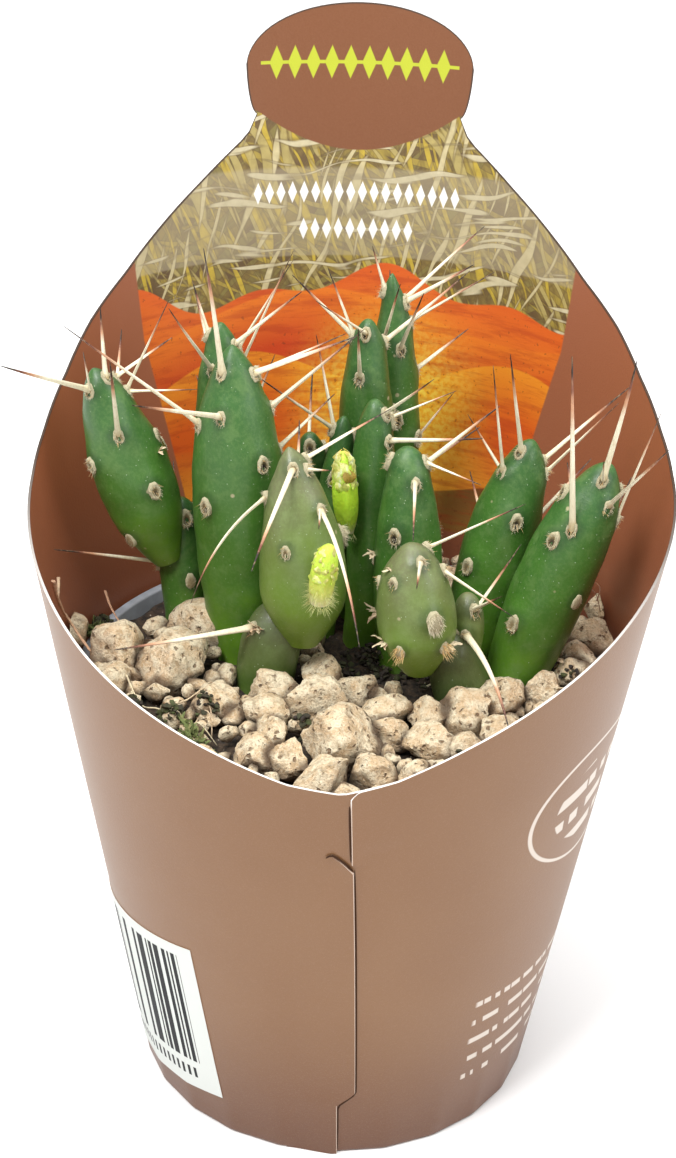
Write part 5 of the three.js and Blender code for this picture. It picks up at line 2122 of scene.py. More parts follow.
@dataclass
class PumiceGravel:
    """The top dressing: stones, pebbles between them, and the dark grit under them.

    bare and litter are sectors by their first and last angle and the radius they start from; litter
    has its outer radius too. soil_shadow_patch is an oval by its middle and its half widths, under the
    stems, where stones are left out so that the dark soil stands in for their shadow.
    """

    pitch: float = 3.1
    smallest: float = 5.0
    largest: float = 7.0
    tries: int = 28
    crowd: float = 0.38
    sink: float = 0.15
    shape: Triple = (1.08, 0.92, 0.78)
    mound_from: float = 27.0
    mound_slope: float = 0.16
    bare: Triple = (-152, -98, 24)
    litter: tuple[float, float, float, float] = (-66, -30, 22.2, 30.5)
    soil_shadow_patch: tuple[float, float, float, float] = (6.2, 3.2, 9.3, 8.6)
    pebble_tries: int = 900
    pebble_sizes: tuple[float, float] = (1.6, 3.4)
    planes: int = 10
    softness: float = 32.0
    contact: float = 0.9
    row_pitch: float = 0.87
    jitter: float = 2.0
    fill: float = 0.47
    overlap: float = 0.25
    fine_before: float = 2.0
    bed_sides: int = 150
    bed_rings: int = 56
    bed_drop: float = 1.2
    sunk_drop: float = 1.9
    sunk_half_angle: float = 30.0
    wear: tuple[float, float] = (0.94, 0.89)
    cover: list[Draft] = field(default_factory=list)

    def is_bare(self, x: float, y: float) -> bool:
        """Whether a place lies in the sector at the rear left where the pot's rim shows."""
        return self.bare[0] < bearing(x, y) < self.bare[1] and math.hypot(x, y) > self.bare[2]

    def crowding(self, points: np.ndarray, stone: Stone, others: list[Stone]) -> np.ndarray:
        """How closely other stones press on each of a stone's points, from 0 to 1, for the painted shade
        where stones touch.

        Args:
            points: the stone's points.
            stone: the stone.
            others: every stone and pebble.

        Returns:
            One number for each point.
        """
        near = [o for o in others if o is not stone
                and math.dist((o.x, o.y, o.height), (stone.x, stone.y, stone.height)) < o.width + stone.width]
        if not near:
            return np.zeros(len(points))
        middles = np.array([(o.x, o.y, o.height) for o in near])
        reach = np.array([o.width for o in near]) * self.fill
        gaps = np.linalg.norm(points[:, None, :] - middles[None, :, :], axis=2) - reach
        return smooth(1 - gaps.min(axis=1) / self.contact)

    def is_in_soil_shadow(self, stone: Stone) -> bool:
        """Whether a stone would lie in the oval under the stems where dark soil is left bare as painted
        shadow.
        """
        x, y, wide, deep = self.soil_shadow_patch
        return math.hypot((stone.x - x) / wide, (stone.y - y) / deep) < 1

    def is_littered(self, stone: Stone) -> bool:
        """Whether a stone would lie where moss and roots cover the soil by the card."""
        first, last, nearest, farthest = self.litter
        turned = first < bearing(stone.x, stone.y) < last
        return turned and nearest < math.hypot(stone.x, stone.y) < farthest

    def mound(self, x: float, y: float) -> float:
        """How much higher the stones lie towards the card."""
        return max(0.0, math.hypot(x, y) - self.mound_from) * self.mound_slope

    def stones(self) -> list[Stone]:
        """The stones: the large ones where they lie, and a jittered field between them.

        Returns:
            The stones, the large ones first.
        """
        run = SeededRun(31)
        places = [tuple(float(size) for size in stone) for stone in LARGE_STONES]
        for row in range(self.tries):
            for column in range(self.tries):
                x = (column + (row % 2) * 0.5 - self.tries / 2) * self.pitch + (run() - 0.5) * self.jitter
                y = (row - self.tries / 2) * self.pitch * self.row_pitch + (run() - 0.5) * self.jitter
                width = run.between(self.smallest, self.largest)
                wall = SLEEVE.inner(GRAVEL_LEVEL) - width * 0.42
                crowded = any(math.hypot(a - x, b - y) <= (w + width) * self.crowd for a, b, w in places)
                if math.hypot(x, y) > wall or self.is_bare(x, y) or crowded:
                    continue
                if not CLUMP.near(x, y, width * 0.3):
                    places.append((x, y, width))
        found = []
        for x, y, width in places:
            turn, tilt, seed = run() * 2 * math.pi, run() - 0.5, 7 + math.floor(run() * 9000)
            height = GRAVEL_LEVEL + width * self.sink + self.mound(x, y)
            worn = self.wear[0] if len(found) < len(LARGE_STONES) else self.wear[1]
            found.append(Stone(x, y, width * worn, turn, tilt, seed, height))
        return [stone for stone in found if not self.is_in_soil_shadow(stone) and not self.is_littered(stone)]

    def pebbles(self, stones: list[Stone]) -> list[Stone]:
        """Small pebbles in the gaps between the stones.

        Args:
            stones: the stones that already lie there.

        Returns:
            The pebbles.
        """
        run = SeededRun(77)
        places: list[Stone] = []
        for i in range(self.pebble_tries):
            turn, share = run.between(0, 360), math.sqrt(run())
            width = run.between(*self.pebble_sizes)
            place = heading(turn) * share * (SLEEVE.inner(GRAVEL_LEVEL) - width * 0.6)
            x, y = float(place[0]), float(place[1])
            gap = min(math.hypot(stone.x - x, stone.y - y) - stone.width * 0.36 - width * 0.4
                      for stone in [*stones, *places])
            if gap < -self.overlap or self.is_bare(x, y) or CLUMP.near(x, y, width * 0.35):
                continue
            height = GRAVEL_LEVEL + 0.1 + self.mound(x, y) + run.between(0, 0.9)
            places.append(Stone(x, y, width, run() * 6.28, run() - 0.5, 11 + i * 13, height))
        return [pebble for pebble in places if not self.is_in_soil_shadow(pebble)]

    def lump(self, stone: Stone, ball: tuple[np.ndarray, list]) -> tuple[np.ndarray, np.ndarray]:
        """A stone's points: a ball worn flat by seeded planes, then roughened.

        Args:
            stone: the stone.
            ball: the points and faces of an even ball of radius 1.

        Returns:
            Its points, kept inside the card and above the pot's rim, and how deep each lies in a pit.
        """
        run, points = SeededRun(stone.seed), ball[0]
        form = np.array([run.between(0.9, 1.42), run.between(0.7, 1.0), run.between(0.82, 1.12)])
        flats = [heading(run.between(0, 360), math.degrees(math.asin(run.between(-1, 1))))
                 for _ in range(self.planes)]
        reach = np.array([run.between(0.74, 1.12) for _ in flats])
        facing = np.maximum(points @ np.array(flats).T, 0.02) / reach
        radii = (facing ** self.softness).sum(axis=1) ** (-1 / self.softness)
        radii = np.minimum(radii, 1.3)
        shift = Vector((run() * 50, run() * 50, run() * 50))
        scale = stone.width / 6
        rough = [noise.fractal(Vector(p) * 1.9 + shift, 0.75, 2.1, 5) for p in points]
        cells = [noise.voronoi(Vector(p) * 2.6 * max(scale, 0.7) + shift)[0][0] for p in points]
        pits = np.exp(-((np.array(cells) / 0.2) ** 2))
        radii = radii * (1 + 0.11 * np.array(rough)) - pits * 0.12
        body = points * radii[:, None] * form * (np.array(self.shape) * stone.width * self.fill)
        turned = Matrix.Rotation(stone.turn, 3, "Z") @ Matrix.Rotation(stone.tilt, 3, "X")
        body = body @ np.array(turned).T + [stone.x, stone.y, stone.height]
        return self.held(body), pits

    def held(self, points: np.ndarray) -> np.ndarray:
        """Points moved into the sleeve and off the pot's rim.

        Args:
            points: one point in each row.

        Returns:
            The same points, moved.
        """
        away = SLEEVE.hold(points)
        rim = POT.inner(points[:, 2]) - GAP
        outside = (away > rim) & (points[:, 2] < POT_TOP + GAP)
        inward = outside & (away < rim + 0.8) & (points[:, 2] < POT_TOP - 1.0)
        points[inward, :2] *= (rim[inward] / away[inward])[:, None]
        lifted = outside & ~inward
        points[lifted, 2] = POT_TOP + GAP
        return points

    def grit(self, x: float, y: float) -> float:
        """The height of the dark grit, which has sunk below the pot's rim in the bare sector.

        Args:
            x: the place to the right.
            y: the place to the rear.

        Returns:
            The height there.
        """
        middle = (self.bare[0] + self.bare[1]) / 2
        inside = smooth((self.sunk_half_angle - abs(bearing(x, y) - middle)) / 8)
        sunk = inside * smooth((math.hypot(x, y) - 20) / 5)
        crumbs = 0.5 * noise.fractal(Vector((x, y, 3.3)) * 0.5, 0.7, 2.2, 4)
        grains = 0.25 * noise.noise(Vector((x, y, 9.1)) * 1.9)
        return GRAVEL_LEVEL - self.bed_drop - self.sunk_drop * sunk + crumbs + grains

    def bed(self) -> Draft:
        """The dark grit that fills the pot's top up to the stones.

        Returns:
            The mesh.
        """
        circle = unit_circle(self.bed_sides)
        rings = [raised(circle * (POT.inner(GRAVEL_FOOT) - GAP), GRAVEL_FOOT)]
        edge = POT.inner(POT_TOP) - GAP
        for share in 1 - np.linspace(0, 0.985, self.bed_rings):
            flat = circle * edge * share
            rings.append(raised(flat, [self.grit(x, y) for x, y in flat]))
        draft = Draft()
        draft.tube(np.array(rings), np.array([0, 0, GRAVEL_LEVEL - 0.75]))
        return draft

    def build(self) -> None:
        """Makes the gravel's pieces."""
        fine, coarse = ball(4), ball(3)
        stone_dress, soil_dress = PumiceStone().material(), DarkSoil().material()
        stones = self.stones()
        pebbles = self.pebbles(stones)
        everything = stones + pebbles
        front = [stone for stone in stones if stone.y < self.fine_before]
        rear = [stone for stone in stones if stone.y >= self.fine_before]
        half = len(front) // 2
        groups = (
            ("gravel_stones_front", front[:half], fine), ("gravel_stones_middle", front[half:], fine),
            ("gravel_stones_rear", rear, coarse), ("gravel_pebbles", pebbles, coarse),
        )
        for name, lumps, shape in groups:
            draft = Draft("tone", "low", "hollow")
            for stone in lumps:
                tone = SeededRun(stone.seed + 5)() * 0.9
                points, pits = self.lump(stone, shape)
                # Painted shade: low darkens each stone's lower part and where it nears another stone; hollow
                # darkens its pits.
                low = smooth((stone.height + 0.02 * stone.width - points[:, 2]) / (0.34 * stone.width))
                low = np.maximum(low, self.crowding(points, stone, everything))
                draft.add(points, shape[1], tone=tone, low=low, hollow=np.clip(pits * 1.6 - 0.5, 0, 1) * 0.8)
            draft.object(name, [stone_dress], Slot.PUMICE, ("pumice_gravel",), 40.0)
            self.cover.append(draft)
        self.bed().object("gravel_grit_bed", [soil_dress], Slot.SOIL, ("pumice_gravel",))
        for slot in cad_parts["soil"].material_slots:
            slot.material = soil_dress


def ball(steps: int) -> tuple[np.ndarray, list[tuple[int, ...]]]:
    """An even ball of radius 1 made of triangles.

    Args:
        steps: how often its faces are split.

    Returns:
        Its points and its faces.
    """
    shape = bmesh.new()
    bmesh.ops.create_icosphere(shape, subdivisions=steps, radius=1.0)
    points = np.array([vertex.co[:] for vertex in shape.verts])
    faces = [tuple(vertex.index for vertex in face.verts) for face in shape.faces]
    shape.free()
    return points, faces


class Straw(NamedTuple):
    """A straw by the places it passes, its width and its tone."""

    route: list[Triple]
    width: float
    tone: float


class Heap(NamedTuple):
    """A heap of crumbs by its place, its tone, how far it spreads and how many crumbs it has."""

    x: float
    y: float
    tone: float
    spread: float
    count: int


class OldScales(NamedTuple):
    """Dry scales on a stem's joint, by their place, how many they are and how long they get."""

    stem: str
    order: int
    share: float
    degrees: float
    count: int
    longest: float


STRAWS = (
    Straw([(-33.9, -5.0, 67.2), (-33.7, -4.0, 64.6), (-33.1, -2.6, 61.6), (-32.0, -2.2, 59.4),
           (-30.0, -4.6, 57.9)], 0.62, 0.72),
    Straw([(-33.7, -2.3, 66.3), (-33.6, -3.3, 65.3), (-33.6, -3.9, 64.4)], 0.42, 0.82),
    Straw([(-33.4, 0.4, 60.0), (-32.6, 0.3, 58.7), (-31.0, -2.0, 57.6)], 0.3, 0.8),
    Straw([(-29.9, 11.0, 57.6), (-28.9, 8.0, 57.0), (-27.4, 4.6, 56.6)], 0.36, 0.66),
    Straw([(29.6, 17.4, 60.8), (29.9, 13.4, 59.6), (29.6, 10.4, 58.4)], 0.5, 0.95),
    Straw([(27.2, 9.6, 60.0), (28.6, 9.2, 61.0), (30.4, 8.4, 60.6), (31.0, 6.4, 59.0)], 0.2, 0.5),
    Straw([(30.6, 7.4, 60.0), (31.2, 10.2, 60.4), (30.2, 13.0, 60.0)], 0.2, 0.5),
)
ROOTS = (
    [(-25.4, -8.2), (-23.4, -11.6), (-20.8, -14.2), (-18.2, -16.2), (-16.4, -17.6), (-14.2, -18.4)],
    [(-24.6, -10.2), (-23.2, -13.4), (-22.2, -15.6)], [(-24.9, -9.4), (-23.6, -14.8)],
    [(-20.9, -14.6), (-18.8, -17.4), (-17.4, -19.6)], [(-18.2, -16.2), (-17.6, -18.8), (-16.0, -20.6)],
    [(-17.2, -20.0), (-14.6, -23.0), (-12.4, -24.6), (-10.6, -24.9)], [(-15.4, -22.2), (-13.6, -24.6)],
    [(-19.9, -13.6), (-18.2, -12.2), (-16.6, -11.4), (-15.2, -11.9)],
    [(-17.4, -15.6), (-15.8, -14.6), (-14.8, -15.8)], [(-16.6, -12.8), (-15.2, -14.4), (-14.9, -16.6)],
    [(3.4, 4.6), (5.6, 2.0), (6.4, -0.6)], [(9.6, -4.2), (11.6, -1.8), (12.4, 0.4)],
    [(24.6, -9.0), (27.0, -6.6), (28.4, -3.2)],
)
HEAPS = (
    Heap(-31.3, 9.6, 0.05, 2.3, 34), Heap(-30.9, 7.4, 0.25, 1.7, 26), Heap(-31.6, 10.6, 0.95, 0.9, 8),
    Heap(-19.9, -15.8, 0.05, 2.2, 34), Heap(-18.4, -18.6, 0.3, 2.0, 34),
    Heap(-16.8, -20.6, 0.32, 1.6, 24), Heap(-15.6, -14.0, 0.03, 1.5, 10),
    Heap(-20.2, -13.9, 0.5, 0.7, 6), Heap(-15.6, -22.4, 0.1, 1.6, 18),
    Heap(-23.6, -12.6, 0.03, 1.8, 22), Heap(4.0, 1.5, 0.02, 5.0, 60), Heap(10.5, 0.5, 0.02, 5.0, 60),
    Heap(26.5, -5.5, 0.04, 1.6, 14), Heap(12.4, -24.6, 0.06, 1.3, 10), Heap(-4.6, -16.4, 0.06, 1.2, 9),
)
OLD_SCALES = (
    OldScales("stem_far_right", 0, 0.30, 62, 4, 2.6),
    OldScales("stem_far_right", 0, 0.36, 80, 3, 2.2),
    OldScales("stem_front_centre", 1, 0.86, -62, 2, 1.6),
    OldScales("stem_front_centre", 1, 0.30, 52, 5, 2.2),
    OldScales("stem_front_centre", 1, 0.34, -58, 5, 2.4),
    OldScales("stem_front_left", 0, 0.84, -40, 7, 2.3),
    OldScales("stem_centre_right", 0, 0.42, -66, 5, 2.6),
    OldScales("stem_centre_right", 0, 0.62, -80, 4, 2.2),
    OldScales("stem_centre", 0, 0.52, 34, 4, 2.4),
    OldScales("stem_left", 1, 0.6, 80, 3, 2.0),
)


@dataclass
class Litter:
    """What lies loose on the gravel: straw, roots, moss and crumbs, and dry scales at old areoles."""

    cover: list[Draft]
    skin: bpy.types.Material
    floor: float = GRAVEL_LEVEL - 1.0
    ceiling: float = 62.0
    crumbs_each: int = 3
    crumb_sizes: tuple[float, float] = (0.09, 0.36)
    dark_below: float = 0.2
    moss_tones: tuple[float, float] = (0.2, 0.4)

    def __post_init__(self) -> None:
        """Builds the tree that finds the stones' upper sides."""
        points = np.vstack([part for draft in self.cover for part in draft.points])
        faces, start = [], 0
        for draft in self.cover:
            faces += [tuple(start + corner for corner in face) for face in draft.faces]
            start += draft.count
        self.tree = BVHTree.FromPolygons(points.tolist(), faces)

    def ground(self, x: float, y: float) -> float:
        """The height of what lies under a place."""
        spot, _, _, _ = self.tree.ray_cast(Vector((x, y, self.ceiling)), Vector((0, 0, -1)))
        return max(spot.z, self.floor) if spot else self.floor

    @staticmethod
    def inside(draft: Draft) -> Draft:
        """Moves a mesh's points inside the card."""
        for points in draft.points:
            SLEEVE.hold(points)
        return draft

    def laid(self, route: list[tuple[float, float]], above: float) -> list[Triple]:
        """A route over the stones, a little above them."""
        return [(x, y, self.ground(x, y) + above) for x, y in route]

    def crumbs(self, draft: Draft, run: SeededRun) -> None:
        """Adds heaps of crumbs and moss leaflets.

        Args:
            draft: the mesh to add to.
            run: the litter's seeded run.
        """
        shape = ball(1)
        for x, y, tone, spread, count in HEAPS:
            for _ in range(self.crumbs_each * count):
                turn, off = run.between(0, 2 * math.pi), spread * run() ** 0.7
                a, b = x + off * math.cos(turn), y + off * math.sin(turn)
                size = run.between(*self.crumb_sizes) * (1.25 if tone < self.dark_below else 0.8)
                heap = (1 - off / spread) * spread * 0.45 * run()
                form = np.array([run.between(0.7, 1.3), run.between(0.7, 1.3), run.between(0.6, 1.0)])
                rough = np.array([noise.noise(Vector(p) * 1.8 + Vector((a, b, 0))) for p in shape[0]])
                lump = shape[0] * form * (size * (1 + 0.9 * rough))[:, None]
                middle = np.array([a, b, self.ground(a, b) + size * 0.4 + heap])
                shade = float(np.clip(tone + run.between(-0.08, 0.1), 0, 1))
                draft.add(lump + middle, shape[1], tone=shade)
                if self.moss_tones[0] < tone < self.moss_tones[1] and run() < 0.6:
                    up = unit(np.array([run.between(-1, 1), run.between(-1, 1), 0.7]))
                    out = unit(np.cross(up, np.array([run.between(-1, 1), 1.0, 0.2])))
                    draft.scale(middle, up, out, run.between(0.7, 1.5), 0.2, 0.3, phase=run() * 6, tone=shade)

    def dry_scales(self, draft: Draft, run: SeededRun) -> None:
        """Adds papery scales beside old areoles.

        Args:
            draft: the mesh to add to.
            run: the litter's seeded run.
        """
        for stem, order, share, degrees, count, longest in OLD_SCALES:
            joint = STEMS[stem][order]
            for _ in range(count):
                place, out, along = joint.surface(share, degrees + run.between(-9, 9), -0.05)
                side = np.cross(along, out)
                lean = out * run.between(0.5, 1.1) + side * run.between(-0.8, 0.8)
                course = unit(lean + along * run.between(-0.5, 0.7))
                back = unit(np.cross(course, side))
                draft.scale(place, course, back, longest * run.between(0.4, 0.75), run.between(0.16, 0.34),
                            run.between(0.1, 0.4), phase=run() * 6, tone=run.between(0.8, 1.0))

    def build(self) -> None:
        """Makes the litter's pieces."""
        run = SeededRun(303)
        straw = Draft("tone")
        for route, width, tone in STRAWS:
            straw.strand(route, width, flat=0.6, sides=9, tone=tone)
        for route in ROOTS:
            straw.strand(self.laid(route, 0.25), run.between(0.2, 0.34), tone=run.between(0.8, 1.0))
        self.inside(straw).object("loose_straw_and_roots", [self.skin], Slot.PUMICE)
        crumbs = Draft("tone")
        self.crumbs(crumbs, run)
        self.inside(crumbs).object("moss_and_crumbs", [self.skin], Slot.SOIL)
        scales = Draft("tone")
        self.dry_scales(scales, run)
        scales.object("dry_scales", [self.skin], Slot.STEM)


SHADE_LINES = (
    ([(-2.75, 48.95), (-2.2, 49.25), (-1.5, 49.35), (-0.7, 49.1), (0.9, 48.25), (2.5, 47.15)], 0.2),
    ([(2.82, 47.2), (5.78, 11.2), (5.74, 10.6), (1.3, 8.4), (1.68, 0.6)], 0.04),
    ([(2.05, 48.3), (1.36, 56.4)], 0.04),
)


@dataclass
class CardSleeve:
    """The printed card sleeve: wall and shield, the laps of its front seam, folded tabs and a label."""

    step: float = 1.5
    head_spans: int = 36
    head_rows: int = 9
    rows: int = 40
    border: float = 0.24
    fold_line: tuple[tuple[float, float], ...] = ((0.0, -0.3), (0.1, -0.13), (0.3, -0.03), (0.6, 0.0))
    crease_fade: float = 12.0
    tabs: int = 24
    tab_length: float = 8.5
    notch: float = 4.5
    lap: float = 0.34
    flap: float = 0.17
    lap_span: float = 15.0
    lap_sink: float = 0.05
    lap_foot: float = 0.05
    lap_top: float = 46.9
    lap_edge: tuple[tuple[float, float], ...] = ((0, 1.3), (8.7, 0.8), (10.8, 5.4), (46.9, 2.45))
    lap_brow: tuple[tuple[float, float], ...] = (
        (-13, 48.7), (-2.35, 48.75), (-1.6, 49.0), (-0.1, 48.45), (1.2, 47.7), (2.5, 46.85),
    )
    lap_reach: tuple[float, float] = (-2.35, 10.65)
    flap_edge: tuple[float, float] = (2.4, 0.7)
    bevel: float = 0.2
    groove: float = 0.5
    slit_height: float = 48.5
    shade_width: float = 0.24
    tab_corners: tuple[float, float] = (0.2, 0.8)
    label_size: tuple[float, float] = (32.0, 24.3)
    label_corner: tuple[float, float] = (-14.1, 5.6)
    label_tilt: float = 9.5
    label_lift: float = 0.09
    label_paper: float = 0.06

    def creases(self, degrees: np.ndarray, height: np.ndarray) -> np.ndarray:
        """How far the wall lies inwards near the base, where the folds make its outline a polygon.

        Args:
            degrees: angles from the front.
            height: heights above the base.

        Returns:
            The depth at each place, as a negative lift.
        """
        side = 360 / self.tabs
        off = np.radians(degrees % side - side / 2)
        flat = SLEEVE.base_radius * (math.cos(math.radians(side / 2)) / np.cos(off) - 1)
        return flat * (1 - smooth(height / self.crease_fade))

    def wall(self) -> Draft:
        """The cone and the shield in one sheet, from the head's columns round to them again.

        Returns:
            The mesh, with its rim marked.
        """
        snap = 180 - SLEEVE.neck_angle
        shares = -np.cos(np.linspace(0, math.pi, self.head_spans + 1))
        rest = np.linspace(-snap, snap, round(2 * snap / self.step) + 1)[1:-1]
        degrees = np.concatenate([180 + shares * SLEEVE.neck_angle, rest])
        wrapped = (degrees + 180) % 360 - 180
        top = np.where(np.abs(wrapped) >= snap - 1e-6, SLEEVE.neck_height, SLEEVE.rim(wrapped))
        lifts = [lift for _, lift in self.fold_line]
        heights = [np.full(len(degrees), height) for height, _ in self.fold_line]
        first = self.fold_line[-1][0]
        for share in np.linspace(0, 1, self.rows)[1:-1]:
            heights.append(first + (top - first) * share)
            lifts.append(0.0)
        heights += [top - self.border, top]
        lifts += [0.0, 0.0]
        grid = [(degrees, height, lift + self.creases(wrapped, height))
                for height, lift in zip(heights, lifts)]
        head = len(shares)
        crown = SLEEVE.height - SLEEVE.head_height
        arch = np.sqrt(np.maximum(0.004, 1 - shares ** 2))
        for rise in 1 - np.cos(np.linspace(0, math.pi / 2, self.head_rows)[1:]):
            bulge = math.sqrt(1 - (1 - rise) ** 2)
            angle = SLEEVE.neck_angle + (SLEEVE.head_angle - SLEEVE.neck_angle) * bulge
            height = SLEEVE.neck_height + (SLEEVE.head_height - SLEEVE.neck_height) * rise
            grid.append((180 + shares * angle, np.full(head, height), np.zeros(head)))
        for rise in np.append(np.linspace(0, 1, self.head_rows)[1:-1], [1 - self.border / crown, 1.0]):
            height = SLEEVE.head_height + rise * crown * arch
            grid.append((180 + shares * SLEEVE.head_angle, height, np.zeros(head)))
        outer = np.vstack([SLEEVE.point(*row) for row in grid])
        inner = np.vstack([SLEEVE.point(row[0], row[1], row[2] - SLEEVE.sheet) for row in grid])
        columns = len(degrees)
        wall_points = len(heights) * columns
        last_row = wall_points - columns
        faces = strips(range(0, wall_points, columns), columns, closed=True)
        faces += strips([last_row, *range(wall_points, len(outer), head)], head)
        rim = np.zeros(len(outer))
        rim[last_row + head:wall_points] = 1
        shield = rim[wall_points:].reshape(-1, head)
        shield[:, :2] = 1
        shield[:, -2:] = 1
        shield[-1] = 1
        draft = Draft("rim")
        draft.sheet(outer, inner, faces, rim=np.tile(rim, 2))
        return draft

    def patch(self, draft: Draft, degrees: np.ndarray, height: np.ndarray, lift: np.ndarray,
              thickness: float, bevel: float | np.ndarray = 0.0, **marks: np.ndarray) -> None:
        """Adds a sheet over a grid of places on the wall.

        Args:
            draft: the mesh to add to.
            degrees: the grid's angles.
            height: its heights.
            lift: how far out of the wall it lies.
            thickness: the sheet's thickness.
            bevel: how many degrees further round its inner face lies.
            marks: painted numbers, one for each place.
        """
        rows, columns = height.shape
        lift = lift + self.creases(degrees, height)
        outer = SLEEVE.point(degrees, height, lift).reshape(-1, 3)
        inner = SLEEVE.point(degrees + bevel, height, lift - thickness).reshape(-1, 3)
        painted = {name: np.tile(values.reshape(-1), 2) for name, values in marks.items()}
        draft.sheet(outer, inner, strips(range(0, rows * columns, columns), columns), **painted)

    def upper_lap(self, draft: Draft) -> None:
        """Adds the right flap, which lies outside above the slit.

        Args:
            draft: the mesh to add to.
        """
        down = np.linspace(0, 1, 25)[:, None]
        across = np.linspace(0, 1, 17)[None, :] ** 1.6
        edge, lean = self.flap_edge
        degrees = edge - lean * down + across * self.lap_span
        top = SLEEVE.rim(degrees) + 0.02 - 0.9 * np.clip(1 - across * 9, 0, 1) ** 2
        low = self.slit_height - 0.6
        height = low + (top - low) * down
        fade = smooth(across * 5) * smooth(1.4 - down * 4)
        lift = self.flap * (1 - smooth(across)) * (1 - fade) - self.lap_sink * across
        self.patch(draft, degrees, height, lift, self.flap - 0.01, -self.bevel * (1 - across) ** 30)

    def lower_lap(self, draft: Draft) -> None:
        """Adds the left flap, which lies outside below the slit and steps back near the base.

        Args:
            draft: the mesh to add to.
        """
        down = np.linspace(0, 1, 61)[:, None]
        across = np.linspace(0, 1, 21)[None, :] ** 1.4
        level = down * self.lap_top
        corner = np.interp(level, *zip(*self.lap_edge))
        near, span = self.lap_reach
        reach = near - span * smooth((self.lap_top - level) / 14)
        degrees = corner + (reach - corner) * across
        brow = np.interp(degrees, *zip(*self.lap_brow))
        height = self.lap_foot + (brow - self.lap_foot) * down
        lift = self.lap * (1 - smooth(across)) - self.lap_sink * across
        lift = lift + 0.12 * down ** 20 * (1 - across)
        bevel = self.bevel * (1 - across) ** 30 + 0.0 * height
        self.patch(draft, degrees[:, ::-1], height[:, ::-1], lift[:, ::-1], SLEEVE.sheet, bevel[:, ::-1])

    def seam_shade(self) -> Draft:
        """Painted shade in the slit and beside the laps' cut edges, as thin dark strips on the wall.

        Returns:
            The mesh.
        """
        draft = Draft()
        for places, lift in SHADE_LINES:
            spots = np.array(places)
            along = np.linspace(0, 1, 60)
            steps = np.append(0, np.cumsum(np.hypot(*np.diff(spots * [0.5, 1.0], axis=0).T)))
            degrees = np.interp(along, steps / steps[-1], spots[:, 0])
            height = np.interp(along, steps / steps[-1], spots[:, 1])
            course = unit(np.gradient(np.column_stack([degrees * self.groove, height]), axis=0))
            half = np.column_stack([course[:, 1], -course[:, 0]]) * self.shade_width / 2
            half = half * np.sqrt(np.clip(1.04 - (2 * along - 1) ** 4, 0, 1))[:, None]
            turns = np.stack([degrees - half[:, 0] / self.groove, degrees + half[:, 0] / self.groove], axis=1)
            levels = np.stack([height - half[:, 1], height + half[:, 1]], axis=1)
            self.patch(draft, turns, levels, np.full(turns.shape, lift), 0.05)
        return draft

    def tab_ring(self, draft: Draft) -> None:
        """Adds the tabs that are folded in flat under the pot, with a notch between each two.

        Args:
            draft: the mesh to add to.
        """
        outer = SLEEVE.base_radius - SLEEVE.card / 2
        inner = SLEEVE.base_radius - self.tab_length
        spots, faces = [], []
        span = 360 / self.tabs
        first, last = self.tab_corners
        for i in range(self.tabs):
            start = i * 360 / self.tabs
            spots += [heading(start) * outer, heading(start) * (inner + self.notch),
                      heading(start + first * span) * inner, heading(start + last * span) * inner]
            base, following = 4 * i, 4 * ((i + 1) % self.tabs)
            faces.append((base, following, following + 1, base + 3, base + 2, base + 1))
        flat = np.array(spots)
        draft.sheet(flat, flat + [0, 0, SLEEVE.card], faces)

    def label(self) -> Draft:
        """The label's sheet, with its own two directions painted on it.

        Returns:
            The mesh.
        """
        width, height = self.label_size
        across, up = np.meshgrid(np.linspace(0, 1, 33), np.linspace(0, 1, 17))
        lean = math.radians(self.label_tilt)
        left, rise = (1 - across) * width, up * height
        arc = self.label_corner[0] - left * math.cos(lean) - rise * math.sin(lean)
        level = self.label_corner[1] - left * math.sin(lean) + rise * math.cos(lean)
        degrees = np.degrees(arc / SLEEVE.radius(level))
        draft = Draft("across", "up")
        lift = np.full(level.shape, self.label_lift)
        self.patch(draft, degrees, level, lift, self.label_paper, across=across, up=up)
        return draft

    def build(self) -> None:
        """Makes the sleeve's pieces."""
        tints = [CardOutside().material(), CardInside().material(), CardEdge().material()]
        self.wall().object("card_sleeve_wall", tints, Slot.CARD, ("card_sleeve",))
        laps = Draft()
        self.upper_lap(laps)
        self.lower_lap(laps)
        laps.object("card_sleeve_seam_laps", tints, Slot.CARD, ("card_sleeve",))
        self.seam_shade().object("card_sleeve_seam_shade", [SeamShade().material()] * 3, Slot.CARD)
        tabs = Draft()
        self.tab_ring(tabs)
        tabs.object("card_sleeve_folded_tabs", tints, Slot.CARD, ("card_sleeve",))
        paper = LabelPaper().material()
        self.label().object("sleeve_label", [paper, paper, tints[2]], Slot.CARD)


class Lamp(NamedTuple):
    """A soft square lamp by its name, place and size in metres, and power in watts."""

    name: str
    place: Triple
    size: float
    power: float


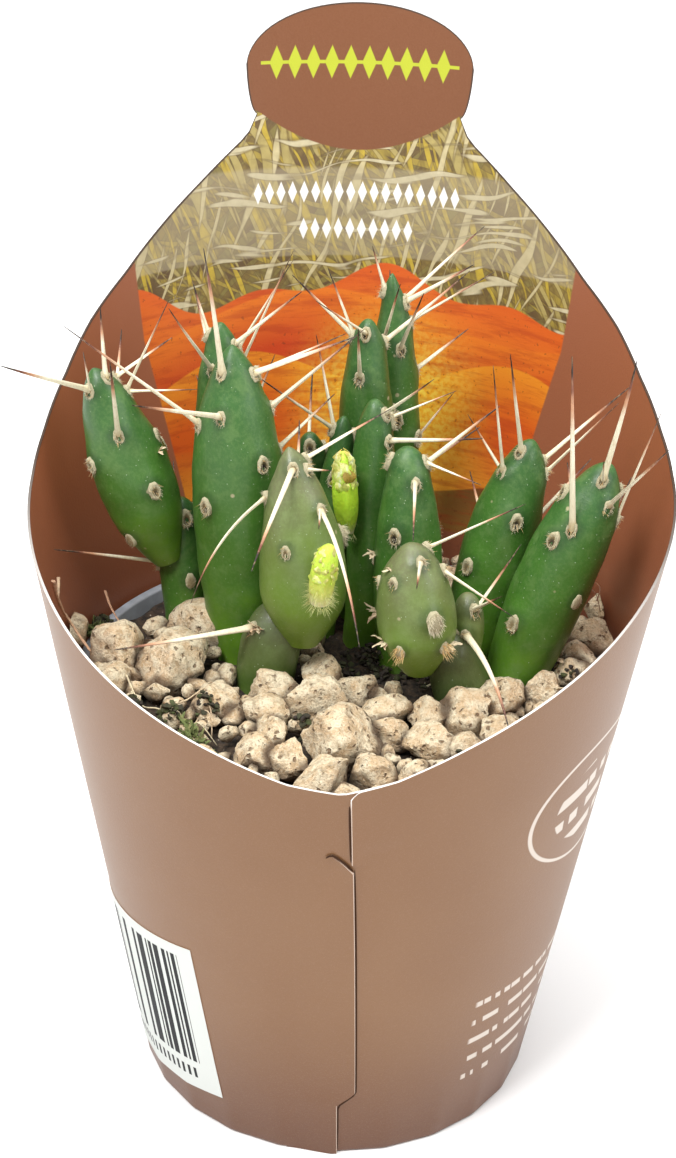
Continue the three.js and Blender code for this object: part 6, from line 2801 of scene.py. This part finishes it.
@dataclass(frozen=True)
class Studio:
    """The camera at the photo's angle, soft lights and a pale floor.

    pitch and roll are in degrees; distance, right and up place the camera in millimetres from the
    sleeve's foot; the floor and the lamps are in metres.
    """

    pitch: float = 27.41
    roll: float = 1.52
    distance: float = 283.5
    right: float = 0.49
    up: float = 58.47
    lens: float = 66.83
    frame_height: float = 36.0
    floor_size: float = 6.0
    sky: float = 0.55
    aim: Triple = (0.0, 0.0, 0.06)
    lamps: tuple[Lamp, ...] = (
        Lamp("key_lamp", (-0.3, -0.4, 0.8), 0.3, 7.1),
        Lamp("fill_lamp", (0.7, -0.35, 0.5), 0.5, 3.2),
        Lamp("top_lamp", (0.0, 0.1, 1.6), 1.6, 26.0),
    )

    def camera(self) -> None:
        """Places the camera."""
        tip, turn = math.radians(self.pitch), math.radians(self.roll)
        forward = Vector((0, math.cos(tip), -math.sin(tip)))
        upward = Vector((0, math.sin(tip), math.cos(tip)))
        sideways = Vector((1, 0, 0))
        level = sideways * math.cos(turn) + upward * math.sin(turn)
        upright = upward * math.cos(turn) - sideways * math.sin(turn)
        spot = -forward * self.distance + level * self.right + upright * self.up
        eye = bpy.data.cameras.new("photo_camera")
        eye.sensor_fit, eye.sensor_height, eye.lens = "VERTICAL", self.frame_height, self.lens
        eye.clip_start, eye.clip_end = 0.01, 20
        camera = bpy.data.objects.new("photo_camera", eye)
        camera.matrix_world = Matrix.Translation((spot + Vector(AXIS)) * MM) @ Matrix(
            (level, upright, -forward)).transposed().to_4x4()
        bpy.context.scene.collection.objects.link(camera)
        bpy.context.scene.camera = camera

    def light(self, lamp: Lamp) -> None:
        """Adds a lamp that points at the part's middle.

        Args:
            lamp: the lamp.
        """
        area = bpy.data.lights.new(lamp.name, "AREA")
        area.size, area.energy = lamp.size, lamp.power
        stand = bpy.data.objects.new(lamp.name, area)
        stand.location = lamp.place
        ray = Vector(self.aim) - Vector(lamp.place)
        stand.rotation_euler = ray.to_track_quat("-Z", "Y").to_euler()
        bpy.context.scene.collection.objects.link(stand)

    def build(self) -> None:
        """Makes the floor, the lights and the camera."""
        half = self.floor_size / 2
        mesh = bpy.data.meshes.new("studio_floor")
        mesh.from_pydata([(-half, -half, 0), (half, -half, 0), (half, half, 0), (-half, half, 0)],
                         [], [(0, 1, 2, 3)])
        mesh.materials.append(StudioPaper().material())
        floor = bpy.data.objects.new("studio_floor", mesh)
        bpy.context.scene.collection.objects.link(floor)
        world = bpy.data.worlds.new("studio_white")
        world.use_nodes = True
        back = world.node_tree.nodes["Background"]
        back.inputs["Color"].default_value = (1.0, 1.0, 1.0, 1.0)
        back.inputs["Strength"].default_value = self.sky
        bpy.context.scene.world = world
        for lamp in self.lamps:
            self.light(lamp)
        bpy.context.scene.view_settings.view_transform = "Standard"
        self.camera()


def main() -> None:
    """Builds the part's pieces, then the studio."""
    logging.basicConfig(level=logging.INFO, format="%(message)s")
    felt, horn = AreoleFelt().material(), SpineHorn().material()
    wool, ochre, golden = WOOL.material(), GLOCHIDS.material(), SHOOT_HAIRS.material()
    looks = {slot: StemLook(skin.material(), felt, wool, ochre, horn, slot) for slot, skin in SKINS.items()}
    for order, name in enumerate(STEMS):
        slot = Slot.YOUNG_STEM if name.startswith("stem_front") else Slot.STEM
        Stem(name, 11 + order, looks[slot]).build()
    YoungShoot(
        "young_shoot_upper", UPPER_SHOOT.material(), golden, seed=5, foot=0.06, collar=0.85,
        base_hairs=20, splay=0.5, crumple=1.0).build()
    YoungShoot(
        "young_shoot_lower", LOWER_SHOOT.material(), golden, seed=9, foot=0.2, collar=1.4,
        base_hairs=300, splay=1.0, crumple=1.6).build()
    gravel = PumiceGravel()
    gravel.build()
    Litter(gravel.cover, DryScrap().material()).build()
    POT.build()
    CardSleeve().build()
    Studio().build()


if __name__ == "__main__":
    main()
